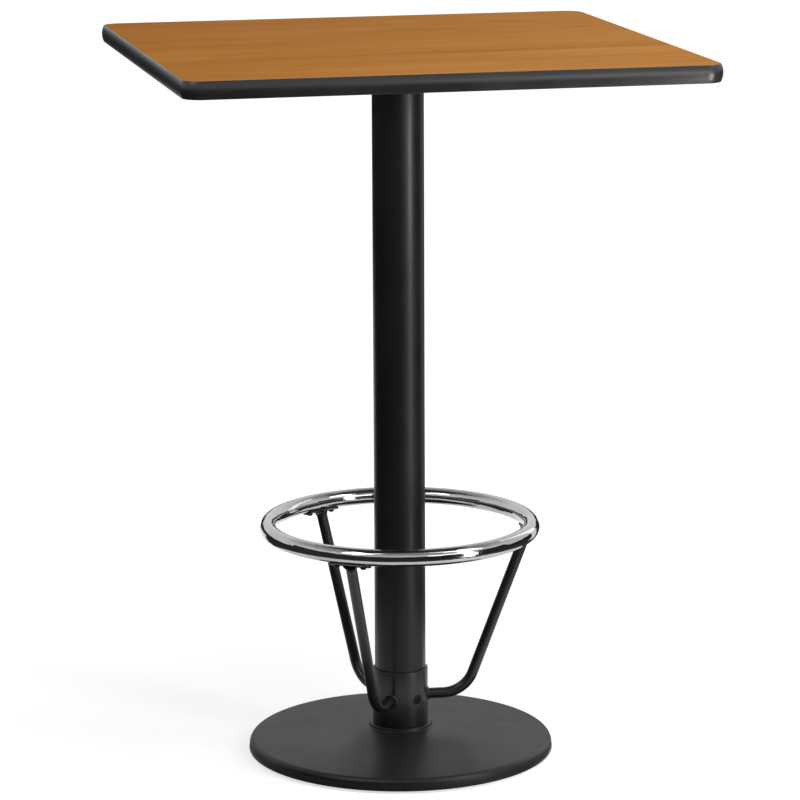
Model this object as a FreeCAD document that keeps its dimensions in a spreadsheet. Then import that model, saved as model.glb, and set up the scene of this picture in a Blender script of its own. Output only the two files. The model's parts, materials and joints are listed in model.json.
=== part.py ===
import FreeCAD, Part

import math
import os
import re

import Sketcher
from FreeCAD import Placement, Rotation, Vector

# Bar-height pub table: a square laminated top on a round column, a domed disc base and a foot ring.
# The origin is on the floor under the column's axis, +Z is up, and the top's edges run along X and Y.
# Lengths are in millimetres and angles in degrees.

SIZES = {
    # Table top
    "overall_height": 1066.8,
    "top_side": 762.0,
    "top_thickness": 25.4,
    "top_corner": 30.0,
    "laminate_thickness": 0.8,
    "backer_thickness": 0.8,
    "edge_crown": 3.2,
    "edge_web": 0.8,
    "tongue_depth": 9.0,
    "tongue_thickness": 2.4,
    "slot_gap": 0.2,
    # Top spider and its screws
    "spider_turn": 45.0,
    "spider_reach": 270.0,
    "spider_hub_wall": 8.0,
    "spider_web": 8.0,
    "spider_socket_depth": 18.0,
    "nut_recess_depth": 18.0,
    "nut_recess_radius": 22.0,
    "arm_width": 38.0,
    "arm_thickness": 6.0,
    "arm_tip_rounding": 14.0,
    "arm_rib_thickness": 5.0,
    "arm_rib_root_depth": 32.0,
    "arm_rib_tip_depth": 11.0,
    "arm_rib_end": 20.0,
    "inner_screw_place": 130.0,
    "screw_pitch": 110.0,
    "arm_hole_gap": 0.3,
    "wood_screw_radius": 2.4,
    "wood_screw_length": 22.0,
    "wood_screw_point": 5.0,
    "wood_screw_tip_radius": 0.6,
    "wood_screw_head_radius": 5.2,
    "wood_screw_head_height": 3.2,
    "wood_screw_head_edge": 1.0,
    "wood_screw_head_round": 1.8,
    "pilot_gap": 0.05,
    "pilot_end_gap": 1.0,
    # Column and tie rod
    "column_diameter": 76.2,
    "column_wall": 2.0,
    "socket_gap": 0.1,
    "rod_radius": 6.0,
    "rod_hole_gap": 0.5,
    "rod_overhang": 2.0,
    "rod_chamfer": 1.0,
    "nut_flats": 19.0,
    "nut_height": 10.8,
    "nut_gap": 0.05,
    "nut_chamfer": 1.2,
    "nut_chamfer_slope": 30.0,
    "top_washer_radius": 15.0,
    "top_washer_thickness": 2.5,
    "base_washer_radius": 30.0,
    "base_washer_thickness": 4.0,
    # Base
    "base_diameter": 457.2,
    "base_lift": 4.0,
    "rim_wall_height": 8.0,
    "rim_wall": 9.0,
    "rim_draft": 0.8,
    "shoulder_width": 9.5,
    "shoulder_rise": 9.8,
    "shoulder_bend": 10.5,
    "dome_height": 33.0,
    "dome_bend": 1900.0,
    "base_shell": 6.0,
    "hub_radius": 47.0,
    "hub_height": 5.0,
    "hub_rounding": 2.0,
    "base_socket_depth": 8.0,
    "base_web": 10.0,
    "boss_radius": 52.0,
    "base_rib_thickness": 5.0,
    "base_rib_lift": 6.0,
    # Levelling glides
    "glide_turn": 45.0,
    "glide_circle": 188.0,
    "glide_boss_radius": 14.0,
    "pad_radius": 14.0,
    "pad_height": 6.0,
    "pad_rounding": 1.5,
    "pad_seat_depth": 3.0,
    "pad_play": 0.3,
    "stem_radius": 4.0,
    "stem_reach": 12.0,
    "stem_chamfer": 0.8,
    "stem_gap": 0.05,
    "stem_end_gap": 1.0,
    # Foot rest
    "ring_diameter": 418.0,
    "ring_tube": 25.4,
    "ring_tube_wall": 1.5,
    "ring_height": 345.5,
    "first_azimuth": -4.4,
    "collar_height": 85.0,
    "collar_wall": 3.0,
    "collar_gap": 0.3,
    "collar_seat_gap": 0.4,
    "collar_chamfer": 0.6,
    "leg_height": 83.0,
    "leg_corner": 99.0,
    "leg_rod": 16.0,
    "leg_bend": 48.0,
    "leg_inset": 2.0,
    "bead_width": 3.0,
    "bead_bend": 5.0,
    "bead_lap": 0.5,
    "neck_flare": 3.5,
    "neck_height": 9.0,
    "neck_lap": 2.0,
    "weld_gap": 0.05,
    "saddle_thickness": 3.0,
    "saddle_length": 64.0,
    "saddle_width": 21.0,
    "saddle_gap": 0.05,
    "ring_screw_pitch": 41.0,
    "ring_screw_radius": 2.5,
    "ring_screw_length": 9.0,
    "ring_screw_point": 1.0,
    "ring_screw_tip_radius": 1.5,
    "ring_screw_head_radius": 4.6,
    "ring_screw_head_height": 2.8,
    "ring_screw_head_edge": 0.9,
    "ring_screw_head_round": 1.6,
    "ring_hole_gap": 0.1,
    # Cross recesses of the round-headed screws
    "cross_reach": 2.4,
    "cross_half_width": 0.5,
    "cross_depth": 1.4,
    # Grub screws of the collar
    "grub_radius": 7.0,
    "grub_inset": 0.8,
    "grub_mouth": 1.2,
    "grub_chamfer": 0.6,
    "grub_gap": 0.05,
    "grub_tip_gap": 0.3,
    "hex_key": 7.0,
    "hex_depth": 1.4,
}

# Places and sizes that follow from the ones above.
PLACES = {
    # Heights down the table
    "underside": "overall_height - top_thickness",
    "core_thickness": "top_thickness - laminate_thickness - backer_thickness",
    "arm_floor": "underside - arm_thickness",
    "nut_recess_floor": "underside - nut_recess_depth",
    "column_top": "nut_recess_floor - spider_web",
    "spider_floor": "column_top - spider_socket_depth",
    "hub_foot": "base_lift + dome_height",
    "hub_top": "hub_foot + hub_height",
    "column_foot": "hub_top - base_socket_depth",
    "web_floor": "column_foot - base_web",
    "rim_top": "base_lift + rim_wall_height",
    "shoulder_top": "rim_top + shoulder_rise",
    "dome_ceiling": "hub_foot - base_shell",
    "rim_ceiling": "shoulder_top - base_shell",
    "boss_floor": "pad_height + pad_play",
    "boss_reach": "glide_circle + glide_boss_radius",
    "boss_top": "shoulder_top + (shoulder_radius - boss_reach) * (hub_foot - shoulder_top)"
                " / (shoulder_radius - hub_radius)",
    # Radii about the column's axis
    "half_side": "top_side / 2",
    "core_half": "half_side - edge_crown - edge_web",
    "core_corner": "top_corner - edge_crown - edge_web",
    "outer_screw_place": "inner_screw_place + screw_pitch",
    "column_radius": "column_diameter / 2",
    "socket_radius": "column_radius + socket_gap",
    "spider_hub_radius": "socket_radius + spider_hub_wall",
    "rod_hole": "rod_radius + rod_hole_gap",
    "base_radius": "base_diameter / 2",
    "rim_inner": "base_radius - rim_wall",
    "shoulder_radius": "base_radius - rim_draft - shoulder_width",
    "collar_bore": "column_radius + collar_gap",
    "collar_radius": "collar_bore + collar_wall",
    "ring_radius": "(ring_diameter - ring_tube) / 2",
    # Crown of the edge band: the arc through its two corners and its middle
    "crown_bend": "(top_thickness ^ 2 / 4 + edge_crown ^ 2) / (2 * edge_crown)",
    # Tie rod
    "top_nut_seat": "nut_recess_floor + top_washer_thickness",
    "base_nut_top": "web_floor - base_washer_thickness",
    "base_nut_foot": "base_nut_top - nut_height",
    "rod_foot": "base_nut_foot - rod_overhang",
    "rod_top": "top_nut_seat + nut_height + rod_overhang",
    # Glides
    "stem_foot": "pad_height - pad_seat_depth",
    "stem_top": "boss_floor + stem_reach",
    # Foot rest
    "collar_foot": "hub_top + collar_seat_gap",
    "collar_top": "collar_foot + collar_height",
    "tube_radius": "ring_tube / 2",
    "cradle_inner": "tube_radius + saddle_gap",
    "cradle_outer": "cradle_inner + saddle_thickness",
    "saddle_floor": "ring_height - cradle_outer",
    "cradle_drop": "sqrt(cradle_outer ^ 2 - saddle_width ^ 2 / 4)",
    "cradle_share": "cradle_inner / cradle_outer",
    "saddle_span": "saddle_length / ring_radius * 180 / pi",
    "ring_screw_side": "ring_screw_pitch / 2",
    "ring_screw_reach": "sqrt(ring_radius ^ 2 - ring_screw_side ^ 2)",
    # Bent legs: a level run, a bend and a leaning run up to the ring
    "leg_radius": "leg_rod / 2",
    "leg_head": "ring_radius - leg_inset",
    "leg_run": "leg_head - leg_corner",
    "leg_climb": "ring_height - tube_radius - leg_height",
    "leg_slope": "sqrt(leg_run ^ 2 + leg_climb ^ 2)",
    "leg_out": "leg_run / leg_slope",
    "leg_up": "leg_climb / leg_slope",
    "bend_tangent": "leg_bend * leg_up / (1 + leg_out)",
    "neck_foot": "saddle_floor - neck_height",
    "neck_foot_reach": "leg_corner + (neck_foot - leg_height) * leg_run / leg_climb",
    # Grub screws
    "grub_tip": "column_radius + grub_tip_gap",
    "grub_head": "collar_radius - grub_inset",
}

# How far a cut reaches past the material it goes through, and a feature into the one that carries it
OVERCUT = "5"
OVERLAP = "1"

WORD = re.compile(r"[a-z][a-z_]*")

doc = FreeCAD.newDocument("PubTable")


def formula(text):
    """Name the sheet in front of each size and place that a formula uses."""
    def with_sheet(found):
        word = found.group()
        if word in SIZES:
            return "Sizes." + word
        if word in PLACES:
            return "Places." + word
        return word
    return WORD.sub(with_sheet, text)


def fill_sheets():
    """Write the driving sizes as plain numbers, and the places as formulas of them."""
    sizes = doc.addObject("Spreadsheet::Sheet", "Sizes")
    for row, (alias, value) in enumerate(SIZES.items(), 1):
        sizes.set(f"A{row}", alias)
        sizes.set(f"B{row}", str(value))
        sizes.setAlias(f"B{row}", alias)
    doc.recompute()
    places = doc.addObject("Spreadsheet::Sheet", "Places")
    for row, (alias, text) in enumerate(PLACES.items(), 1):
        places.set(f"A{row}", alias)
        places.setAlias(f"B{row}", alias)
        places.set(f"B{row}", "=" + formula(text).replace("Places.", ""))
    doc.recompute()


fill_sheets()
gauge = doc.addObject("App::VarSet", "Gauge")
gauge.addProperty("App::PropertyFloat", "Reading")


def number(text):
    """The present value of a formula."""
    gauge.setExpression("Reading", formula(text))
    gauge.recompute()
    return gauge.Reading


def new_body(label, turn=None):
    """A body, turned about the column's axis by the angle that a formula gives."""
    body = doc.addObject("PartDesign::Body", label)
    body.Label = label
    if turn:
        body.Placement = Placement(Vector(), Rotation(Vector(0, 0, 1), number(turn)))
        body.setExpression("Placement.Rotation.Angle", formula(turn))
    return body


def origin_feature(body, role):
    """The body's own origin plane or axis with that role."""
    return next(feature for feature in body.Origin.OriginFeatures if feature.Role == role)


def new_sketch(body, name, role, across="0", up="0", out="0"):
    """A sketch on one of the body's origin planes, its own origin shifted by formulas."""
    sketch = body.newObject("Sketcher::SketchObject", name)
    sketch.AttachmentSupport = [(origin_feature(body, role), "")]
    sketch.MapMode = "FlatFace"
    for axis, shift in (("x", across), ("y", up), ("z", out)):
        sketch.setExpression(f"AttachmentOffset.Base.{axis}", formula(shift))
    return sketch


def fix(sketch, kind, name, text, *where):
    """Add a constraint whose value is a formula."""
    index = sketch.addConstraint(Sketcher.Constraint(kind, *where, number(text)))
    sketch.renameConstraint(index, name)
    sketch.setExpression("Constraints." + name, formula(text))


def arc_between(start, end, radius, turn):
    """The arc of under half a circle from start to end: anticlockwise for turn 1, clockwise for -1."""
    chord = end - start
    apothem = math.sqrt(radius ** 2 - chord.Length ** 2 / 4)
    left = Vector(-chord.y, chord.x, 0).normalize()
    centre = (start + end) / 2 + left * apothem * turn
    angles = [math.atan2(spot.y - centre.y, spot.x - centre.x) for spot in (start, end)]
    if turn < 0:
        angles.reverse()
    return Part.ArcOfCircle(Part.Circle(centre, Vector(0, 0, 1), radius), *angles)


def outline(sketch, corners, closed=True):
    """Draw an outline through corners, each a pair of formulas (across, up).

    A corner is reached from the one before it by a line, or by an arc where the formula of a radius
    and a turn (1 anticlockwise, -1 clockwise) follow the pair.
    """
    first = sketch.GeometryCount
    spots = [Vector(number(corner[0]), number(corner[1]), 0) for corner in corners]
    ends = []
    steps = range(0 if closed else 1, len(corners))
    for step in steps:
        corner = corners[step]
        if len(corner) == 2:
            edge = sketch.addGeometry(Part.LineSegment(spots[step - 1], spots[step]), False)
            ends.append((edge, 1, 2))
        else:
            arc = arc_between(spots[step - 1], spots[step], number(corner[2]), corner[3])
            edge = sketch.addGeometry(arc, False)
            ends.append((edge, 1, 2) if corner[3] > 0 else (edge, 2, 1))
            fix(sketch, "Radius", f"radius_{edge}", corner[2], edge)
        fix(sketch, "DistanceX", f"across_{edge}", corner[0], edge, ends[-1][2])
        fix(sketch, "DistanceY", f"up_{edge}", corner[1], edge, ends[-1][2])
    for before, after in zip(ends, ends[1:] + ends[:1] if closed else ends[1:]):
        sketch.addConstraint(Sketcher.Constraint("Coincident", before[0], before[2], after[0], after[1]))
    if not closed:
        fix(sketch, "DistanceX", f"start_across_{first}", corners[0][0], first, ends[0][1])
        fix(sketch, "DistanceY", f"start_up_{first}", corners[0][1], first, ends[0][1])


def circle(sketch, radius, across="0", up="0"):
    """Draw a circle about a point given by formulas."""
    centre = Vector(number(across), number(up), 0)
    edge = sketch.addGeometry(Part.Circle(centre, Vector(0, 0, 1), number(radius)), False)
    fix(sketch, "Radius", f"radius_{edge}", radius, edge)
    fix(sketch, "DistanceX", f"across_{edge}", across, edge, 3)
    fix(sketch, "DistanceY", f"up_{edge}", up, edge, 3)


def rounded_square(sketch, half, corner):
    """Draw a square about the sketch's origin with rounded corners."""
    flat = f"(({half}) - ({corner}))"
    outline(sketch, [
        (half, flat), (flat, half, corner, 1), (f"-{flat}", half), (f"-({half})", flat, corner, 1),
        (f"-({half})", f"-{flat}"), (f"-{flat}", f"-({half})", corner, 1), (flat, f"-({half})"),
        (half, f"-{flat}", corner, 1),
    ])


def hexagon(sketch, flats):
    """Draw a hexagon about the sketch's origin, that wide across its flats."""
    sides = 6
    corner = f"{flats} / sqrt(3)"
    turns = [f"({side} * 360 / {sides})" for side in range(sides)]
    outline(sketch, [(f"{corner} * cos{turn}", f"{corner} * sin{turn}") for turn in turns])


def cross(sketch):
    """Draw the outline of a screw's cross recess."""
    reach, half = "cross_reach", "cross_half_width"
    quarter = [(reach, f"-{half}"), (reach, half), (half, half)]
    outline(sketch, quarter + [
        (half, reach), (f"-{half}", reach), (f"-{half}", half),
        (f"-{reach}", half), (f"-{reach}", f"-{half}"), (f"-{half}", f"-{half}"),
        (f"-{half}", f"-{reach}"), (half, f"-{reach}"), (half, f"-{half}"),
    ])


def feature_on(body, kind, name, sketch):
    """A feature of the body that uses a sketch."""
    feature = body.newObject("PartDesign::" + kind, name)
    feature.Profile = sketch
    return feature


def pad(body, name, sketch, length, along=True, both=False):
    """Add the sketch's area along its normal, against it, or half to each side."""
    feature = feature_on(body, "Pad", name, sketch)
    feature.setExpression("Length", formula(length))
    feature.Reversed = not along
    if both:
        feature.SideType = "Symmetric"
    return feature


def pocket(body, name, sketch, length, along=True):
    """Cut the sketch's area along its normal or against it, and check that it cuts."""
    doc.recompute()
    before = body.Shape.Volume
    feature = feature_on(body, "Pocket", name, sketch)
    feature.setExpression("Length", formula(length))
    feature.Reversed = along
    doc.recompute()
    if feature.Shape.Volume >= before:
        raise ValueError(f"{body.Label}: {name} cuts nothing")
    return feature


def turned(body, name, sketch, axis="V_Axis", kind="Revolution", angle="360"):
    """Turn the sketch's area about one of the sketch's axes, half the angle to each side."""
    feature = feature_on(body, kind, name, sketch)
    feature.ReferenceAxis = (sketch, [axis])
    feature.Midplane = True
    feature.setExpression("Angle", formula(angle))
    return feature


def around(body, name, features, count):
    """Repeat features evenly about the column's axis."""
    pattern = body.newObject("PartDesign::PolarPattern", name)
    pattern.Originals = features
    pattern.Axis = (origin_feature(body, "Z_Axis"), [""])
    pattern.Angle = 360
    pattern.Occurrences = count
    body.Tip = pattern
    return pattern


def tube(label, outer, inner, foot, height):
    """A plain ring or tube standing on a level, cut from two cylinders."""
    walls = []
    for name, radius in ((label + "_outside", outer), (label + "_bore", inner)):
        wall = doc.addObject("Part::Cylinder", name)
        wall.setExpression("Radius", formula(radius))
        wall.setExpression("Height", formula(height))
        wall.setExpression("Placement.Base.z", formula(foot))
        walls.append(wall)
    cut = doc.addObject("Part::Cut", label)
    cut.Base, cut.Tool = walls
    cut.Label = label
    return cut


# ---------------------------------------------------------------- table top

ARMS = 4
SCREW_PLACES = {"inner": "inner_screw_place", "outer": "outer_screw_place"}


def screw_holes(body, radius, level, depth):
    """Cut one hole for each of the spider's screws, upwards from a level."""
    cuts = []
    for row, place in SCREW_PLACES.items():
        sketch = new_sketch(body, f"{row}_hole_outline", "XY_Plane", out=level)
        circle(sketch, radius, f"{place} * cos(spider_turn)", f"{place} * sin(spider_turn)")
        cuts.append(pocket(body, f"{row}_hole", sketch, depth))
    around(body, "holes", cuts, ARMS)


def make_sheet(label, level, thickness, drilled):
    """A full-size sheet of the top, drilled for the spider's screws where it lies under the core."""
    body = new_body(label)
    sketch = new_sketch(body, "plan", "XY_Plane", out=level)
    rounded_square(sketch, "core_half", "core_corner")
    pad(body, "sheet", sketch, thickness)
    if drilled:
        screw_holes(body, "wood_screw_radius + pilot_gap", level, thickness)
    return body


def make_core():
    """Particleboard core with a slot round its edge for the band's tongue."""
    core_floor = "underside + backer_thickness"
    body = make_sheet("top_core", core_floor, "core_thickness", drilled=False)
    slot_height = "tongue_thickness + 2 * slot_gap"
    slot_floor = f"underside + top_thickness / 2 - ({slot_height}) / 2"
    sketch = new_sketch(body, "slot_plan", "XY_Plane", out=slot_floor)
    rounded_square(sketch, f"core_half + {OVERCUT}", f"core_corner + {OVERCUT}")
    rounded_square(sketch, "core_half - tongue_depth - slot_gap", "core_corner - tongue_depth - slot_gap")
    pocket(body, "slot", sketch, slot_height)
    screw_depth = "wood_screw_length - arm_thickness - backer_thickness + pilot_end_gap"
    screw_holes(body, "wood_screw_radius + pilot_gap", core_floor, screw_depth)
    return body


def make_edge_band():
    """Vinyl T-moulding: a crowned face with a tongue behind it, run round the core."""
    body = new_body("edge_band")
    path = new_sketch(body, "path", "XY_Plane", out="underside")
    rounded_square(path, "core_half", "core_corner")
    profile = new_sketch(body, "profile", "XZ_Plane", across="core_half", up="underside")
    middle = "top_thickness / 2"
    outline(profile, [
        ("0", "0"), ("edge_web", "0"), ("edge_web", "top_thickness", "crown_bend", 1), ("0", "top_thickness"),
        ("0", f"{middle} + tongue_thickness / 2"), ("-tongue_depth", f"{middle} + tongue_thickness / 2"),
        ("-tongue_depth", f"{middle} - tongue_thickness / 2"), ("0", f"{middle} - tongue_thickness / 2"),
    ])
    band = feature_on(body, "AdditivePipe", "band", profile)
    band.Spine = (path, [])
    return body


def make_spider():
    """Cast plate with four ribbed arms under the top and a socket for the column's upper end."""
    body = new_body("top_spider", "spider_turn")
    section = new_sketch(body, "hub_section", "XZ_Plane")
    outline(section, [
        ("rod_hole", "nut_recess_floor"), ("nut_recess_radius", "nut_recess_floor"),
        ("nut_recess_radius", "underside"), ("spider_hub_radius", "underside"),
        ("spider_hub_radius", "spider_floor"), ("socket_radius", "spider_floor"),
        ("socket_radius", "column_top"), ("rod_hole", "column_top"),
    ])
    turned(body, "hub", section)
    root = "nut_recess_radius + spider_hub_wall / 2"
    tip = "spider_reach - arm_tip_rounding"
    half, flat = "arm_width / 2", "(arm_width / 2 - arm_tip_rounding)"
    plan = new_sketch(body, "arm_plan", "XY_Plane", out="underside")
    outline(plan, [
        (root, f"-{half}"), (tip, f"-{half}"), ("spider_reach", f"-{flat}", "arm_tip_rounding", 1),
        ("spider_reach", flat), (tip, half, "arm_tip_rounding", 1), (root, half),
    ])
    parts = [pad(body, "arm", plan, "arm_thickness", along=False)]
    for side, sign in (("left", ""), ("right", "-")):
        rib = new_sketch(body, f"{side}_rib_side", "XZ_Plane",
                         out=f"{sign}(arm_width - arm_rib_thickness) / 2")
        inside = "arm_floor + arm_thickness / 2"
        foot, end = "spider_hub_radius - spider_hub_wall / 2", "spider_reach - arm_rib_end"
        outline(rib, [
            (foot, inside), (foot, "underside - arm_rib_root_depth"),
            (end, "underside - arm_rib_tip_depth"), (end, inside),
        ])
        parts.append(pad(body, f"{side}_rib", rib, "arm_rib_thickness", both=True))
    for row, place in SCREW_PLACES.items():
        hole = new_sketch(body, f"{row}_hole_outline", "XY_Plane", out="arm_floor")
        circle(hole, "wood_screw_radius + arm_hole_gap", place)
        parts.append(pocket(body, f"{row}_hole", hole, "arm_thickness"))
    around(body, "arms", parts, ARMS)
    return body


def round_headed_screw(body, name, across, aside, seat, size):
    """A screw that points up, its rounded head's flat face on a seat, with a cross recess."""
    section = new_sketch(body, f"{name}_section", "XZ_Plane", across=across, out=aside)
    face = f"{seat} - {size}_head_height"
    edge = f"{seat} - {size}_head_edge"
    tip = f"{seat} + {size}_length"
    outline(section, [
        ("0", face), (f"{size}_head_radius - {size}_head_round", face),
        (f"{size}_head_radius", edge, f"{size}_head_height", 1), (f"{size}_head_radius", seat),
        (f"{size}_radius", seat), (f"{size}_radius", f"{tip} - {size}_point"),
        (f"{size}_tip_radius", tip), ("0", tip),
    ])
    shaft = turned(body, name, section)
    recess = new_sketch(body, f"{name}_recess_outline", "XY_Plane", across=across, up=f"-({aside})", out=face)
    cross(recess)
    return [shaft, pocket(body, f"{name}_recess", recess, "cross_depth")]


def make_spider_screws():
    """The wood screws that hold the top on the spider."""
    body = new_body("spider_screws", "spider_turn")
    parts = []
    for row, place in SCREW_PLACES.items():
        parts += round_headed_screw(body, f"{row}_screw", place, "0", "arm_floor", "wood_screw")
    around(body, "screws", parts, ARMS)
    return body


# ---------------------------------------------------------------- column and tie rod


def make_column():
    """Round steel tube from the base's socket to the spider's."""
    return tube("column", "column_radius", "column_radius - column_wall", "column_foot",
                "column_top - column_foot")


def make_tie_rod():
    """Threaded rod, with a chamfer at each end, that clamps spider, column and base together."""
    body = new_body("tie_rod")
    section = new_sketch(body, "section", "XZ_Plane")
    inner = "rod_radius - rod_chamfer"
    outline(section, [
        ("0", "rod_foot"), (inner, "rod_foot"), ("rod_radius", "rod_foot + rod_chamfer"),
        ("rod_radius", "rod_top - rod_chamfer"), (inner, "rod_top"), ("0", "rod_top"),
    ])
    turned(body, "rod", section)
    return body


def make_nuts():
    """The hexagon nuts on the rod's two ends."""
    body = new_body("tie_rod_nuts")
    outside = f"nut_flats / sqrt(3) + {OVERCUT}"
    trim = "nut_flats / sqrt(3) - nut_chamfer"
    drop = f"(nut_chamfer + {OVERCUT}) * tan(nut_chamfer_slope)"
    for name, foot in (("base_nut", "base_nut_foot"), ("top_nut", "top_nut_seat")):
        plan = new_sketch(body, f"{name}_plan", "XY_Plane", out=foot)
        hexagon(plan, "nut_flats")
        circle(plan, "rod_radius + nut_gap")
        pad(body, name, plan, "nut_height")
        ends = new_sketch(body, f"{name}_ends", "XZ_Plane", up=foot)
        outline(ends, [(trim, "0"), (outside, "0"), (outside, drop)])
        outline(ends, [(trim, "nut_height"), (outside, f"nut_height - {drop}"), (outside, "nut_height")])
        turned(body, f"{name}_chamfers", ends, kind="Groove")
    return body


def make_washers():
    """The plates between the nuts and the castings."""
    top = tube("top_washer", "top_washer_radius", "rod_hole", "nut_recess_floor", "top_washer_thickness")
    base = tube("base_washer", "base_washer_radius", "rod_hole", "base_nut_top", "base_washer_thickness")
    return [top, base]


# ---------------------------------------------------------------- base

GLIDES = 4
BASE_RIBS = 8


def make_base():
    """Domed disc with a hub on top, hollow underneath, with ribs and a threaded boss for each glide."""
    body = new_body("base_casting", "glide_turn")
    section = new_sketch(body, "section", "XZ_Plane")
    outline(section, [
        ("rod_hole", "column_foot"), ("socket_radius", "column_foot"), ("socket_radius", "hub_top"),
        ("hub_radius - hub_rounding", "hub_top"),
        ("hub_radius", "hub_top - hub_rounding", "hub_rounding", -1), ("hub_radius", "hub_foot"),
        ("shoulder_radius", "shoulder_top", "dome_bend", -1),
        ("base_radius - rim_draft", "rim_top", "shoulder_bend", -1), ("base_radius", "base_lift"),
        ("rim_inner", "base_lift"), ("rim_inner", "rim_top - rim_draft"),
        ("rim_inner - rim_wall / 2", "rim_ceiling"),
        ("boss_radius", "dome_ceiling", "dome_bend - base_shell", 1), ("boss_radius", "web_floor"),
        ("rod_hole", "web_floor"),
    ])
    turned(body, "dish", section)
    rib = new_sketch(body, "rib_side", "XZ_Plane")
    outline(rib, [
        (f"boss_radius - {OVERLAP}", "base_lift + base_rib_lift"),
        (f"rim_inner + {OVERLAP}", "base_lift + base_rib_lift"), (f"rim_inner + {OVERLAP}", "rim_top"),
        ("rim_inner - rim_wall / 2", "rim_ceiling + base_shell / 3"),
        (f"boss_radius - {OVERLAP}", "dome_ceiling + base_shell / 2"),
    ])
    around(body, "ribs", [pad(body, "rib", rib, "base_rib_thickness", both=True)], BASE_RIBS)
    boss = new_sketch(body, "boss_outline", "XY_Plane", out="boss_floor")
    circle(boss, "glide_boss_radius", "glide_circle")
    lump = pad(body, "boss", boss, "boss_top - boss_floor")
    bore = new_sketch(body, "bore_outline", "XY_Plane", out="boss_floor")
    circle(bore, "stem_radius + stem_gap", "glide_circle")
    thread = pocket(body, "bore", bore, "stem_reach + stem_end_gap")
    around(body, "bosses", [lump, thread], GLIDES)
    return body


def make_glides():
    """Levelling glides: a nylon pad under each boss, on a threaded stem."""
    made = []
    for count in range(GLIDES):
        turn = f"glide_turn + {count} * 360 / {GLIDES}"
        stem = new_body(f"glide_stem_{count + 1}", turn)
        section = new_sketch(stem, "section", "XZ_Plane", across="glide_circle")
        outline(section, [
            ("0", "stem_foot"), ("stem_radius", "stem_foot"), ("stem_radius", "stem_top - stem_chamfer"),
            ("stem_radius - stem_chamfer", "stem_top"), ("0", "stem_top"),
        ])
        turned(stem, "stem", section)
        foot = new_body(f"glide_pad_{count + 1}", turn)
        section = new_sketch(foot, "section", "XZ_Plane", across="glide_circle")
        rounding = "pad_rounding"
        outline(section, [
            ("0", "0"), (f"pad_radius - {rounding}", "0"), ("pad_radius", rounding, rounding, 1),
            ("pad_radius", f"pad_height - {rounding}"),
            (f"pad_radius - {rounding}", "pad_height", rounding, 1),
            ("stem_radius + stem_gap", "pad_height"), ("stem_radius + stem_gap", "stem_foot"),
            ("0", "stem_foot"),
        ])
        turned(foot, "pad", section)
        made += [stem, foot]
    return made


# ---------------------------------------------------------------- foot rest

LEGS = 3
LEG_NAMES = ("right", "rear", "front")


def leg_turn(count, extra="0"):
    """The angle of a leg about the column, with an extra angle."""
    return f"first_azimuth + {extra} + {count} * 360 / {LEGS}"


def make_ring():
    """Ring of round tube, drilled from below for the saddles' screws."""
    body = new_body("foot_ring", leg_turn(0))
    section = new_sketch(body, "section", "XZ_Plane")
    circle(section, "tube_radius", "ring_radius", "ring_height")
    circle(section, "tube_radius - ring_tube_wall", "ring_radius", "ring_height")
    turned(body, "tube", section)
    around(body, "holes", ring_screw_holes(body), LEGS)
    return body


def ring_screw_holes(body):
    """Cut the two holes for a saddle's screws, from below up to the ring's middle."""
    cuts = []
    depth = f"cradle_outer + {OVERCUT}"
    for side, sign in (("left", ""), ("right", "-")):
        sketch = new_sketch(body, f"{side}_hole_outline", "XY_Plane", out=f"saddle_floor - {OVERCUT}")
        circle(sketch, "ring_screw_radius + ring_hole_gap", "ring_screw_reach", f"{sign}ring_screw_side")
        cuts.append(pocket(body, f"{side}_hole", sketch, depth))
    return cuts


def make_saddle(count):
    """Curved plate with round ends that cradles the ring from below, on the head of a leg."""
    body = new_body(f"saddle_{LEG_NAMES[count]}", leg_turn(count))
    section = new_sketch(body, "section", "XZ_Plane")
    inner_half = "saddle_width / 2 * cradle_share"
    inner_level = "ring_height - cradle_drop * cradle_share"
    outer_level = "ring_height - cradle_drop"
    outline(section, [
        (f"ring_radius - {inner_half}", inner_level),
        (f"ring_radius + {inner_half}", inner_level, "cradle_inner", 1),
        ("ring_radius + saddle_width / 2", outer_level),
        ("ring_radius - saddle_width / 2", outer_level, "cradle_outer", -1),
    ])
    turned(body, "plate", section, angle="saddle_span")
    half, flat = "(saddle_width / 2)", "((saddle_span - saddle_width / ring_radius * 180 / pi) / 2)"
    near, far = f"(ring_radius - {half})", f"(ring_radius + {half})"
    tip = (f"ring_radius * cos{flat} - {half} * sin{flat}", f"ring_radius * sin{flat} + {half} * cos{flat}")
    plan = new_sketch(body, "plan", "XY_Plane", out=f"saddle_floor - {OVERCUT}")
    outline(plan, [
        (f"{near} * cos{flat}", f"{near} * sin{flat}", near, 1), (*tip, half, -1),
        (f"{far} * cos{flat}", f"{far} * sin{flat}", half, -1),
        (f"{far} * cos{flat}", f"-{far} * sin{flat}", far, -1), (tip[0], f"-({tip[1]})", half, -1),
        (f"{near} * cos{flat}", f"-{near} * sin{flat}", half, -1),
    ])
    side = f"(saddle_length / 2 + {OVERCUT})"
    outline(plan, [
        ("ring_radius - saddle_width", f"-{side}"), ("ring_radius + saddle_width", f"-{side}"),
        ("ring_radius + saddle_width", side), ("ring_radius - saddle_width", side),
    ])
    pocket(body, "round_ends", plan, f"cradle_outer + {OVERCUT}")
    ring_screw_holes(body)
    return body


def make_saddle_screws():
    """The screws up through the saddles into the ring."""
    body = new_body("saddle_screws", leg_turn(0))
    parts = []
    for side, sign in (("left", ""), ("right", "-")):
        parts += round_headed_screw(body, f"{side}_screw", "ring_screw_reach", f"{sign}ring_screw_side",
                                    "saddle_floor", "ring_screw")
    around(body, "screws", parts, LEGS)
    return body


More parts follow.
